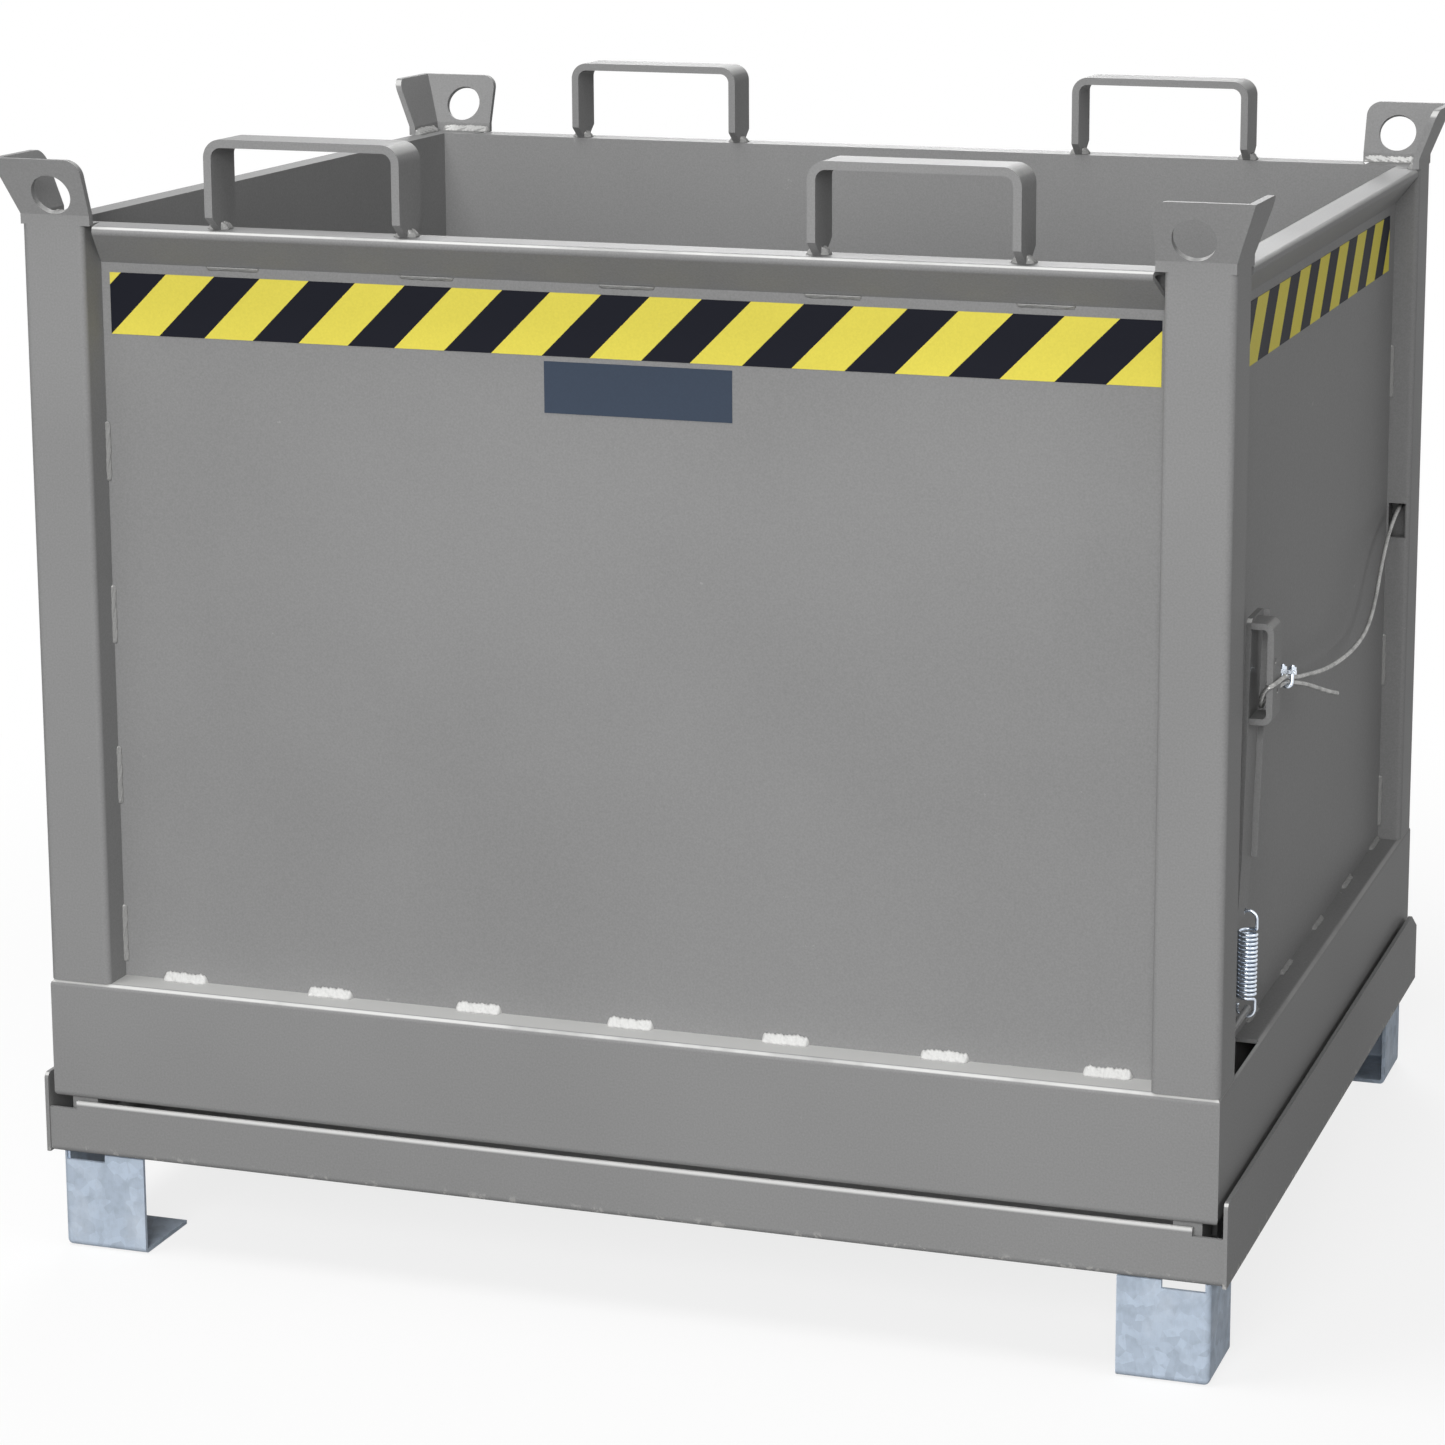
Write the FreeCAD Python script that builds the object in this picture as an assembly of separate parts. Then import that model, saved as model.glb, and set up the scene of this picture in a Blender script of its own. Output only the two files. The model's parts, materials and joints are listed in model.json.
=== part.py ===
"""Hinged bottom hopper: a sheet steel container whose floor is a pan that hinges at the rear.

X runs along the front, +Y to the rear, +Z up. The origin is the centre of the footprint on the ground.
All lengths are millimetres.
"""
import FreeCAD, Part
import math
import os

Vector = FreeCAD.Vector
ORIGIN = Vector(0, 0, 0)
X = Vector(1, 0, 0)
Y = Vector(0, 1, 0)
Z = Vector(0, 0, 1)

# Container body
BODY_LENGTH = 1200.0
BODY_WIDTH = 1000.0
GROUND_CLEARANCE = 100.0
LIP_HEIGHT = 55.0
LIP_GAP = 4.0
BAND_HEIGHT = 123.0
WALL_HEIGHT = 762.0
SHEET = 4.0
FRONT_RECESS = 36.0
SIDE_RECESS = 26.0
POST_WIDTH = 66.0
BEND = 6.0
POST_NOSE_BEND = 8.0
RIM_DEPTH = 39.0
RIM_NOSE = 5.0
RIM_END_CUT = 10.0
OVERRUN = 20.0
QUARTER_TURN = 90.0
FULL_TURN = 360.0

# Running and assembly clearances
FACE_GAP = 0.3
JOINED = 0.001
BORE_GAP = 0.05
NOTCH_GAP = 1.5

# Lifting lugs
LUG_WIDTH = 74.0
LUG_HEIGHT = 65.0
LUG_STRAIGHT = 10.0
LUG_FLARE = 20.0
LUG_PLATE = 7.0
LUG_CORNER = 15.0
LUG_HOLE_RADIUS = 20.5
LUG_HOLE_FROM_FACE = 37.5
LUG_HOLE_HEIGHT = 30.0

# Fork loops
LOOP_CENTRE = 302.0
LOOP_WIDTH = 202.0
LOOP_HEIGHT = 88.0
LOOP_BAR = 8.0
LOOP_DEPTH = 50.0
LOOP_BEND = 18.0
LOOP_POINT_RISE = 13.0

# Striped tape and a blank plate
TAPE_LENGTH = 1050.0
SIDE_TAPE_LENGTH = 800.0
TAPE_WIDTH = 60.5
TAPE_DROP = 48.5
SKIN = 0.6
PLATE_LENGTH = 188.0
PLATE_HEIGHT = 49.5
PLATE_SHIFT = 22.0
PLATE_DROP = 114.0

# Weld beads
BEAD_RADIUS = 7.0
STITCH_RADIUS = 3.5
LEDGE_BEAD_LENGTH = 48.0
LEDGE_BEAD_PITCH = 158.7
LEDGE_BEAD_SHIFT = 9.0
LEDGE_BEAD_COUNT = 7
SIDE_BEAD_PITCH = 163.0
SIDE_BEAD_SHIFT = 81.5
SIDE_BEAD_COUNT = 5
RIM_STITCH_LENGTH = 56.0
RIM_STITCH_PITCH = 202.5
RIM_STITCH_SHIFT = 12.0
RIM_STITCH_COUNT = 5
POST_STITCH_LENGTH = 60.0
POST_STITCH_SHARES = (0.0184, 0.2336, 0.4488, 0.664)

# Floor pan, the flap that opens
PAN_OVERHANG = 10.0
PAN_WALL_HEIGHT = 83.0
PAN_WALL_END_GAP = 2.0
PAN_REAR_SLOPE = 34.0
PAN_REAR_DROP = 20.0
LIP_NOTCH_LENGTH = 30.0
LIP_NOTCH_DEPTH = 8.0
RIB_LENGTH = 960.0
RIB_WIDTH = 50.0
RIB_HEIGHT = 30.0
RIB_PITCH = 250.0
RIB_COUNT = 3
REST_LENGTH = 28.0
REST_DEPTH = 40.0
REST_INSET_X = 16.0
REST_INSET_Y = 8.0

# Rear hinges
HINGE_PITCH = 420.0
HINGE_COUNT = 3
HINGE_OUT = 8.0
HINGE_BELOW_BAND = 12.0
KNUCKLE_RADIUS = 11.0
KNUCKLE_LENGTH = 50.0
KNUCKLE_SIDE_GAP = 0.5
PIN_RADIUS = 5.0
PIN_HEAD_RADIUS = 8.0
PIN_HEAD = 4.0
EAR_THICKNESS = 8.0
EAR_NECK = 6.0
EAR_HEIGHT = 70.0

# Feet
FOOT_SIZE = 90.0
FOOT_INSET_X = 5.5
FOOT_INSET_Y = 2.0
FOOT_NOTCH_DEPTH = 8.0
FOOT_NOTCH_START = 43.0

# Release lever, on the right side
PIVOT_BEHIND_FRONT = 95.0
PIVOT_BELOW_LEDGE = 33.0
LEVER_SHEET = 5.0
LEVER_OFF_WALL = 3.0
LEVER_LENGTH = 458.0
LEVER_JOG = 11.0
LEVER_JOG_START = 163.0
LEVER_BOSS_RADIUS = 20.0
LEVER_FLANGE = 6.0
LEVER_TOP_ROUND = 8.0
LEVER_REAR_SHARES = ((0.035, 0.072), (0.0437, 0.1856), (0.0640, 0.3559), (0.0917, 0.393),
                     (0.1026, 0.4258), (0.1223, 0.4913), (0.1594, 0.738), (0.1987, 1.0))
LEVER_FRONT_SHARES = ((0.0721, 1.0), (0.0502, 0.738), (0.0218, 0.4913), (-0.0109, 0.3777),
                      (-0.0284, 0.1856), (-0.0415, 0.072))
SHANK_WIDTH = 24.0
NOSE_LENGTH = 10.0
NOSE_TOP_DROP = 121.0
NOSE_HEIGHT = 14.0
NOSE_CHAMFER = 4.0
PIVOT_RADIUS = 6.0
SPACER_RADIUS = 11.0
SLOT_BEHIND_PIVOT = 88.0
SLOT_UNDER_POST = 11.0
SLOT_SIDE_GAP = 1.0
KEEPER_RADIUS = 7.0
KEEPER_REACH_GAP = 0.5
KEEPER_LIFT = 3.0
KEEPER_PLATE = 6.0
KEEPER_PLATE_WIDTH = 36.0
KEEPER_PLATE_OFF_WALL = 2.0
KEEPER_PLATE_HEIGHT = 46.0

# Stirrup on the lever that the rope is tied to
STIRRUP_OUT = 22.0
STIRRUP_BAR = 6.0
STIRRUP_WIDTH = 36.0
STIRRUP_HEIGHT = 97.0
STIRRUP_BEHIND_PIVOT = 29.0
STIRRUP_ABOVE_PIVOT = 358.0
STIRRUP_BEND = 10.0
STIRRUP_HOLE_RADIUS = 3.0
STIRRUP_HOLE_SHARES = ((0.30, 0.62), (0.62, 0.30))

# Return spring
WIRE_RADIUS = 1.5
COIL_RADIUS = 8.5
COIL_PITCH = 4.0
COIL_TURNS = 16
SPRING_OUT = 22.0
SPRING_BEHIND_PIVOT = 29.0
SPRING_BASE_ABOVE_LEDGE = 61.5
SPRING_LEAN = 2.0
HOOK_RISE = 11.0
HOOK_OPEN_ANGLE = 138.0
HOOK_CLOSED_ANGLE = 205.0
HOOK_BLEND_ANGLE = 70.0
HOOK_BLEND_RISE = 4.0
HOOK_HOLE_RADIUS = 4.2
PEG_RADIUS = 3.5
PEG_PAST_SPRING = 8.0

# Wire rope, its clip and its hand grip. Route points are given out from the side panel, behind a
# starting line and above the ledge
ROPE_RADIUS = 2.25
ROPE_TOUCH = 0.12
ARC_SHARE = 0.45
STRAND_OFFSET = 2.4
CLIP_OUT = 37.0
CLIP_BEHIND_PIVOT = 114.0
CLIP_ABOVE_LEDGE = 351.0
CLIP_TILT = 14.0
CLIP_RUN = 15.0
CLIP_LEAD = 30.0
ROPE_LEAD_OUT = 13.0
SADDLE_LENGTH = 10.0
SADDLE_WIDTH = 16.0
SADDLE_HEIGHT = 4.0
U_BOLT_RADIUS = 2.0
NUT_FLATS = 7.0
NUT_HEIGHT = 3.2
BOLT_PAST_NUT = 1.5
WINDOW_HEIGHT = 39.0
WINDOW_ABOVE_BAND = 349.0
WINDOW_SIDE_GAP = 2.0
ROPE_HOLE_RADIUS = 6.0
ROPE_EXIT_OUT = 13.0
ROPE_EXIT_ABOVE_LEDGE = 379.9
ROPE_SPAN = 791.0
EYE_TURN_HIGH = 366.0
EYE_TURN_LOW = 360.0
EYE_REAR_POINTS = ((43.7, 71, 363.7),)
EYE_INNER_POINTS = ((27.5, 34, 339), (29, 63, 343))
TAIL_POINTS = ((37, 215, 323), (40, 263, 308), (43, 302, 296), (43.5, 337, 287))
SAG_POINTS = ((34.8, 108, 331), (32.8, 167, 320), (30.8, 226, 310.5), (28.9, 285, 302.5), (26.9, 343, 296),
              (25, 401, 291.3), (23, 457, 289.5), (21.5, 503, 292.5), (20.3, 539, 302.5), (19.2, 568, 319),
              (18.2, 597, 342), (17, 636, 365), (15.5, 683, 378.5), (14, 727, 384), (13, 763, 382.5))
HANG_POINTS = ((13, 14, 365), (13, 12.5, 339), (13, 11, 289), (13, 10.3, 230), (13, 10, 172),
               (13, 10.2, 119), (13, 10.2, 74))
GRIP_LENGTH = 85.0
GRIP_RADIUS = 9.5
GRIP_WAIST_RADIUS = 8.0
GRIP_END_ROUND = 3.0
FERRULE_RADIUS = 5.0
FERRULE_LENGTH = 14.0

# Heights and planes that follow from the sizes above
HALF_LENGTH = BODY_LENGTH / 2
HALF_WIDTH = BODY_WIDTH / 2
FLOOR_TOP = GROUND_CLEARANCE + SHEET
LIP_TOP = GROUND_CLEARANCE + LIP_HEIGHT
BAND_BOTTOM = LIP_TOP + LIP_GAP
BAND_TOP = BAND_BOTTOM + BAND_HEIGHT
RIM_TOP = BAND_TOP + WALL_HEIGHT
WALL_X = HALF_LENGTH - SIDE_RECESS
WALL_Y = HALF_WIDTH - FRONT_RECESS
POST_INNER_X = HALF_LENGTH - POST_WIDTH
POST_INNER_Y = HALF_WIDTH - POST_WIDTH
BAND_WEB_X = HALF_LENGTH - SHEET
PAN_X = HALF_LENGTH + PAN_OVERHANG
PAN_INNER_X = PAN_X - SHEET
PIVOT_Y = PIVOT_BEHIND_FRONT - HALF_WIDTH
PIVOT_Z = BAND_TOP - PIVOT_BELOW_LEDGE
SLOT_REAR = PIVOT_Y + SLOT_BEHIND_PIVOT
STIRRUP_FRONT = PIVOT_Y + STIRRUP_BEHIND_PIVOT
SPRING_BASE_Y = PIVOT_Y + SPRING_BEHIND_PIVOT
LEVER_LOW_X = WALL_X + LEVER_OFF_WALL
LEVER_HIGH_X = LEVER_LOW_X + LEVER_JOG
LEVER_FACE_X = LEVER_HIGH_X + LEVER_SHEET
HINGE_Y = HALF_WIDTH + HINGE_OUT
HINGE_Z = BAND_BOTTOM - HINGE_BELOW_BAND
KEEPER_Y = PIVOT_Y + SHANK_WIDTH / 2 + NOSE_LENGTH + KEEPER_REACH_GAP + KEEPER_RADIUS
KEEPER_Z = PIVOT_Z - NOSE_TOP_DROP + KEEPER_LIFT + KEEPER_RADIUS
SPRING_X = WALL_X + SPRING_OUT
NUT_CORNER_RADIUS = NUT_FLATS / math.sqrt(3)
CLIP_CENTRE = Vector(WALL_X + CLIP_OUT, PIVOT_Y + CLIP_BEHIND_PIVOT, BAND_TOP + CLIP_ABOVE_LEDGE)
ROPE_EXIT = Vector(WALL_X + ROPE_EXIT_OUT, HALF_WIDTH, BAND_TOP + ROPE_EXIT_ABOVE_LEDGE)

CORNERS = {
    "front_left": (-1, -1),
    "front_right": (1, -1),
    "rear_left": (-1, 1),
    "rear_right": (1, 1),
}

pieces = {}


def block(x_pair, y_pair, z_pair):
    """A box between two values on each axis."""
    low = Vector(min(x_pair), min(y_pair), min(z_pair))
    high = Vector(max(x_pair), max(y_pair), max(z_pair))
    size = high - low
    return Part.makeBox(size.x, size.y, size.z, low)


def rod(start, end, radius):
    """A round bar from one point to another."""
    return Part.makeCylinder(radius, (end - start).Length, start, end - start)


def corner_arc(before, corner, after, radius):
    """The arc that rounds a corner, as its start, middle and end."""
    to_before = (before - corner).normalize()
    to_after = (after - corner).normalize()
    half = to_before.getAngle(to_after) / 2
    reach = radius / math.tan(half)
    bisector = (to_before + to_after).normalize()
    middle = corner + bisector * (radius / math.sin(half) - radius)
    return corner + to_before * reach, middle, corner + to_after * reach


def outline_face(points, radii=None):
    """A flat face from corner points, each corner rounded by its own radius."""
    count = len(points)
    radii = radii or [0] * count
    edges = []
    stops = []
    for index, corner in enumerate(points):
        if radii[index]:
            arc = corner_arc(points[index - 1], corner, points[(index + 1) % count], radii[index])
            stops.append((arc[0], arc[2]))
            edges.append(Part.Arc(*arc).toShape())
        else:
            stops.append((corner, corner))
    for index, stop in enumerate(stops):
        start = stop[1]
        end = stops[(index + 1) % count][0]
        if not start.isEqual(end, JOINED):
            edges.append(Part.LineSegment(start, end).toShape())
    wire = Part.Wire(Part.__sortEdges__(edges))
    return Part.Face(wire)


def prism_x(points, x_pair, radii=None):
    """A prism along X from (y, z) points."""
    corners = [Vector(min(x_pair), y, z) for y, z in points]
    return outline_face(corners, radii).extrude(X * abs(x_pair[1] - x_pair[0]))


def prism_y(points, y_pair, radii=None):
    """A prism along Y from (x, z) points."""
    corners = [Vector(x, min(y_pair), z) for x, z in points]
    return outline_face(corners, radii).extrude(Y * abs(y_pair[1] - y_pair[0]))


def prism_z(points, z_pair, radii=None):
    """A prism along Z from (x, y) points."""
    corners = [Vector(x, y, min(z_pair)) for x, y in points]
    return outline_face(corners, radii).extrude(Z * abs(z_pair[1] - z_pair[0]))


def to_corner(shape, signs):
    """Moves a front right piece to another corner by mirroring it."""
    moved = shape
    if signs[0] < 0:
        moved = moved.mirror(ORIGIN, X)
    if signs[1] > 0:
        moved = moved.mirror(ORIGIN, Y)
    return moved


def weld_bead(start, end, out_a, out_b, radius):
    """A fillet weld along an inside corner, a quarter round between two faces."""
    across = (out_a + out_b).normalize()
    arc = Part.Arc(start + out_a * radius, start + across * radius, start + out_b * radius).toShape()
    side_a = Part.LineSegment(start, start + out_a * radius).toShape()
    side_b = Part.LineSegment(start + out_b * radius, start).toShape()
    return Part.Face(Part.Wire([side_a, arc, side_b])).extrude(end - start)


def make_walls():
    """Four plain panels that meet in sharp inner corners and run down behind the band."""
    inner_x = WALL_X - SHEET
    heights = (BAND_BOTTOM, RIM_TOP)
    pieces["wall_front"] = block((-inner_x, inner_x), (-WALL_Y, SHEET - WALL_Y), heights)
    pieces["wall_rear"] = block((-inner_x, inner_x), (WALL_Y - SHEET, WALL_Y), heights)
    pieces["wall_left"] = block((-WALL_X, -inner_x), (-WALL_Y, WALL_Y), heights)
    pieces["wall_right"] = block((inner_x, WALL_X), (-WALL_Y, WALL_Y), heights)


def folded_rim(recess, length):
    """The folded edge above one panel, along X: out from the wall, round a nose and back down to it."""
    reach = math.hypot(recess - RIM_NOSE, RIM_DEPTH - RIM_NOSE)
    slope = math.atan2(RIM_DEPTH - RIM_NOSE, recess - RIM_NOSE) - math.asin(RIM_NOSE / reach)
    sharp = RIM_DEPTH / math.tan(slope)
    slant = math.hypot(sharp, RIM_DEPTH)
    section = [(0, RIM_TOP), (-sharp, RIM_TOP), (0, RIM_TOP - RIM_DEPTH),
               (0, RIM_TOP - RIM_DEPTH + SHEET * slant / sharp),
               (SHEET * (slant + sharp) / RIM_DEPTH - sharp, RIM_TOP - SHEET), (0, RIM_TOP - SHEET)]
    half = length / 2
    fold = prism_x(section, (-half, half), [0, RIM_NOSE, 0, 0, RIM_NOSE - SHEET, 0])
    plan = [(-half, 0), (half, 0), (half - RIM_END_CUT, -recess), (RIM_END_CUT - half, -recess)]
    return fold.common(prism_z(plan, (RIM_TOP - RIM_DEPTH, RIM_TOP)))


def make_rims():
    front = folded_rim(FRONT_RECESS, 2 * POST_INNER_X)
    front.translate(Y * -WALL_Y)
    side = folded_rim(SIDE_RECESS, 2 * POST_INNER_Y)
    side.rotate(ORIGIN, Z, QUARTER_TURN)
    side.translate(X * WALL_X)
    pieces["rim_front"] = front
    pieces["rim_rear"] = front.mirror(ORIGIN, Y)
    pieces["rim_right"] = side
    pieces["rim_left"] = side.mirror(ORIGIN, X)


def post_outline():
    """Plan of the front right post: a sheet bent round the corner, with returns to both walls."""
    outer = [(POST_INNER_X, -WALL_Y), (POST_INNER_X, -HALF_WIDTH), (HALF_LENGTH, -HALF_WIDTH),
             (HALF_LENGTH, -POST_INNER_Y), (WALL_X, -POST_INNER_Y)]
    inner = [(WALL_X, -POST_INNER_Y - SHEET), (HALF_LENGTH - SHEET, -POST_INNER_Y - SHEET),
             (HALF_LENGTH - SHEET, SHEET - HALF_WIDTH), (POST_INNER_X + SHEET, SHEET - HALF_WIDTH),
             (POST_INNER_X + SHEET, -WALL_Y)]
    tight = BEND - SHEET
    radii = [0, BEND, POST_NOSE_BEND, BEND, 0, 0, tight, POST_NOSE_BEND - SHEET, tight, 0]
    return outer + inner, radii


def rope_window():
    """The window that lets the rope into the rear right post."""
    low = BAND_TOP + WINDOW_ABOVE_BAND
    return block((WALL_X + WINDOW_SIDE_GAP, BAND_WEB_X), (POST_INNER_Y - OVERRUN, POST_INNER_Y + SHEET),
                 (low, low + WINDOW_HEIGHT))


def make_posts():
    points, radii = post_outline()
    post = prism_z(points, (BAND_TOP, RIM_TOP), radii)
    cap_points = [(POST_INNER_X + SHEET, -WALL_Y), (POST_INNER_X + SHEET, SHEET - HALF_WIDTH),
                  (HALF_LENGTH - SHEET, SHEET - HALF_WIDTH), (HALF_LENGTH - SHEET, -POST_INNER_Y - SHEET),
                  (WALL_X, -POST_INNER_Y - SHEET), (WALL_X, -WALL_Y)]
    tight = BEND - SHEET
    cap = prism_z(cap_points, (RIM_TOP - SHEET, RIM_TOP), [0, tight, POST_NOSE_BEND - SHEET, tight, 0, 0])
    caps = []
    for name, signs in CORNERS.items():
        pieces["post_" + name] = to_corner(post, signs)
        caps.append(to_corner(cap, signs))
    hole = ROPE_EXIT + Z * (ROPE_HOLE_RADIUS - ROPE_RADIUS - FACE_GAP)
    rope_hole = rod(hole - Y * (SHEET + BEND), hole + Y * OVERRUN, ROPE_HOLE_RADIUS)
    pieces["post_rear_right"] = pieces["post_rear_right"].cut(rope_window()).cut(rope_hole)
    pieces["post_caps"] = caps


def folded_band(recess, length):
    """One side of the bottom frame, a channel standing out from the wall, along X, ends mitred."""
    outer = [(0, BAND_TOP), (-recess, BAND_TOP), (-recess, BAND_BOTTOM), (0, BAND_BOTTOM)]
    inner = [(0, BAND_BOTTOM + SHEET), (SHEET - recess, BAND_BOTTOM + SHEET),
             (SHEET - recess, BAND_TOP - SHEET), (0, BAND_TOP - SHEET)]
    tight = BEND - SHEET
    half = length / 2
    channel = prism_x(outer + inner, (-half, half), [0, BEND, BEND, 0, 0, tight, tight, 0])
    return channel


def corner_wedge(x_wall, y_wall, reach):
    """The plan area of the front band: between the two mitre lines at the corners."""
    return [(-x_wall, -y_wall), (x_wall, -y_wall), (x_wall + reach, -y_wall - FRONT_RECESS),
            (-x_wall - reach, -y_wall - FRONT_RECESS)]


def make_bands():
    """Front and side channels share a mitre from the wall corner to the outer corner."""
    heights = (BAND_BOTTOM, BAND_TOP)
    front = folded_band(FRONT_RECESS, BODY_LENGTH)
    front.translate(Y * -WALL_Y)
    front = front.common(prism_z(corner_wedge(WALL_X, WALL_Y, SIDE_RECESS), heights))
    side = folded_band(SIDE_RECESS, BODY_WIDTH)
    side.rotate(ORIGIN, Z, QUARTER_TURN)
    side.translate(X * WALL_X)
    side_plan = [(WALL_X, -WALL_Y), (HALF_LENGTH, -HALF_WIDTH), (HALF_LENGTH, HALF_WIDTH), (WALL_X, WALL_Y)]
    side = side.common(prism_z(side_plan, heights))
    pieces["band_front"] = front
    pieces["band_rear"] = front.mirror(ORIGIN, Y)
    pieces["band_left"] = side.mirror(ORIGIN, X)
    slot_x = (WALL_X + SLOT_SIDE_GAP, BAND_WEB_X + SLOT_SIDE_GAP)
    upper = block(slot_x, (-POST_INNER_Y, SLOT_REAR), (BAND_TOP - BEND, BAND_TOP + OVERRUN))
    lower = block((slot_x[0], BAND_WEB_X), (-POST_INNER_Y - SLOT_UNDER_POST, SLOT_REAR),
                  (BAND_BOTTOM - OVERRUN, BAND_BOTTOM + SHEET))
    pieces["band_right"] = side.cut(upper).cut(lower)


def lug_plate(width, holed):
    """One flared plate of a lug, standing on the front face, its outer end at the mitre."""
    base = RIM_TOP
    bend_z = base + LUG_STRAIGHT
    top = base + LUG_HEIGHT
    thick = LUG_PLATE
    face = [(-HALF_WIDTH, base), (-HALF_WIDTH, bend_z), (-HALF_WIDTH - LUG_FLARE, top),
            (thick - HALF_WIDTH - LUG_FLARE, top), (thick - HALF_WIDTH, bend_z), (thick - HALF_WIDTH, base)]
    inner_x = HALF_LENGTH - width
    plate = prism_x(face, (inner_x, HALF_LENGTH + LUG_FLARE))
    silhouette = [(inner_x, base), (HALF_LENGTH + LUG_FLARE, base), (HALF_LENGTH + LUG_FLARE, top),
                  (inner_x, top)]
    depth = (-HALF_WIDTH - LUG_FLARE - OVERRUN, thick - HALF_WIDTH + OVERRUN)
    plate = plate.common(prism_y(silhouette, depth, [0, 0, 0, LUG_CORNER]))
    if holed:
        slope = math.atan2(LUG_FLARE, LUG_HEIGHT - LUG_STRAIGHT)
        rise = LUG_HOLE_HEIGHT - LUG_STRAIGHT
        lean = rise * math.tan(slope)
        centre = Vector(HALF_LENGTH - LUG_HOLE_FROM_FACE, -HALF_WIDTH - lean, base + LUG_HOLE_HEIGHT)
        outward = Vector(0, -math.cos(slope), -math.sin(slope))
        plate = plate.cut(rod(centre - outward * OVERRUN, centre + outward * OVERRUN, LUG_HOLE_RADIUS))
    return plate


def make_lugs():
    """An L shaped lug on each post, bored in the plate that faces front or rear."""
    reach = LUG_FLARE + LUG_WIDTH + OVERRUN
    heights = (RIM_TOP, RIM_TOP + LUG_HEIGHT)
    front_area = [(HALF_LENGTH - reach, -HALF_WIDTH + reach), (HALF_LENGTH - reach, -HALF_WIDTH - reach),
                  (HALF_LENGTH + reach, -HALF_WIDTH - reach)]
    side_area = [(HALF_LENGTH - reach, -HALF_WIDTH + reach), (HALF_LENGTH + reach, -HALF_WIDTH - reach),
                 (HALF_LENGTH + reach, -HALF_WIDTH + reach)]
    front = lug_plate(LUG_WIDTH, True).common(prism_z(front_area, heights))
    side = lug_plate(LUG_WIDTH, False)
    side.translate(Vector(-HALF_LENGTH, HALF_WIDTH, 0))
    side = side.mirror(ORIGIN, X + Y)
    side.translate(Vector(HALF_LENGTH, -HALF_WIDTH, 0))
    side = side.common(prism_z(side_area, heights))
    lug = front.fuse(side).removeSplitter()
    for name, signs in CORNERS.items():
        pieces["lifting_lug_" + name] = to_corner(lug, signs)


def make_loops():
    """Four bar loops for fork tines, on points that stand on the folded rim."""
    top = RIM_TOP + LOOP_HEIGHT
    left = LOOP_CENTRE - LOOP_WIDTH / 2
    right = LOOP_CENTRE + LOOP_WIDTH / 2
    foot = RIM_TOP - OVERRUN
    depth = (-HALF_WIDTH, LOOP_DEPTH - HALF_WIDTH)
    inner_bend = LOOP_BEND - LOOP_BAR
    outline = [(left, foot), (right, foot), (right, top), (left, top)]
    bar = prism_y(outline, depth, [0, 0, LOOP_BEND, LOOP_BEND])
    hollow = [(left + LOOP_BAR, foot - OVERRUN), (right - LOOP_BAR, foot - OVERRUN),
              (right - LOOP_BAR, top - LOOP_BAR), (left + LOOP_BAR, top - LOOP_BAR)]
    bar = bar.cut(prism_y(hollow, (depth[0] - OVERRUN, depth[1] + OVERRUN), [0, 0, inner_bend, inner_bend]))
    tip = LOOP_DEPTH / 2 - HALF_WIDTH
    point = [(depth[0], top), (depth[0], RIM_TOP + LOOP_POINT_RISE), (tip - LOOP_BAR, RIM_TOP),
             (tip + LOOP_BAR, RIM_TOP), (depth[1], RIM_TOP + LOOP_POINT_RISE), (depth[1], top)]
    loop = bar.common(prism_x(point, (left, right)))
    for name, signs in CORNERS.items():
        pieces["fork_loop_" + name] = to_corner(loop, signs)


def make_skins():
    """The striped tapes below the rim and the bare plate on the front."""
    tape_top = RIM_TOP - TAPE_DROP
    heights = (tape_top - TAPE_WIDTH, tape_top)
    front = block((-TAPE_LENGTH / 2, TAPE_LENGTH / 2), (-WALL_Y - SKIN, -WALL_Y), heights)
    side = block((WALL_X, WALL_X + SKIN), (-SIDE_TAPE_LENGTH / 2, SIDE_TAPE_LENGTH / 2), heights)
    pieces["hazard_tape_front"] = front
    pieces["hazard_tape_rear"] = front.mirror(ORIGIN, Y)
    pieces["hazard_tape_right"] = side
    pieces["hazard_tape_left"] = side.mirror(ORIGIN, X)
    plate_top = RIM_TOP - PLATE_DROP
    pieces["blank_plate"] = block((PLATE_SHIFT - PLATE_LENGTH / 2, PLATE_SHIFT + PLATE_LENGTH / 2),
                                 (-WALL_Y - SKIN, -WALL_Y), (plate_top - PLATE_HEIGHT, plate_top))


def row_centres(count, pitch, shift):
    """Evenly spaced places about a shifted middle."""
    return [shift + (index - (count - 1) / 2) * pitch for index in range(count)]


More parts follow.
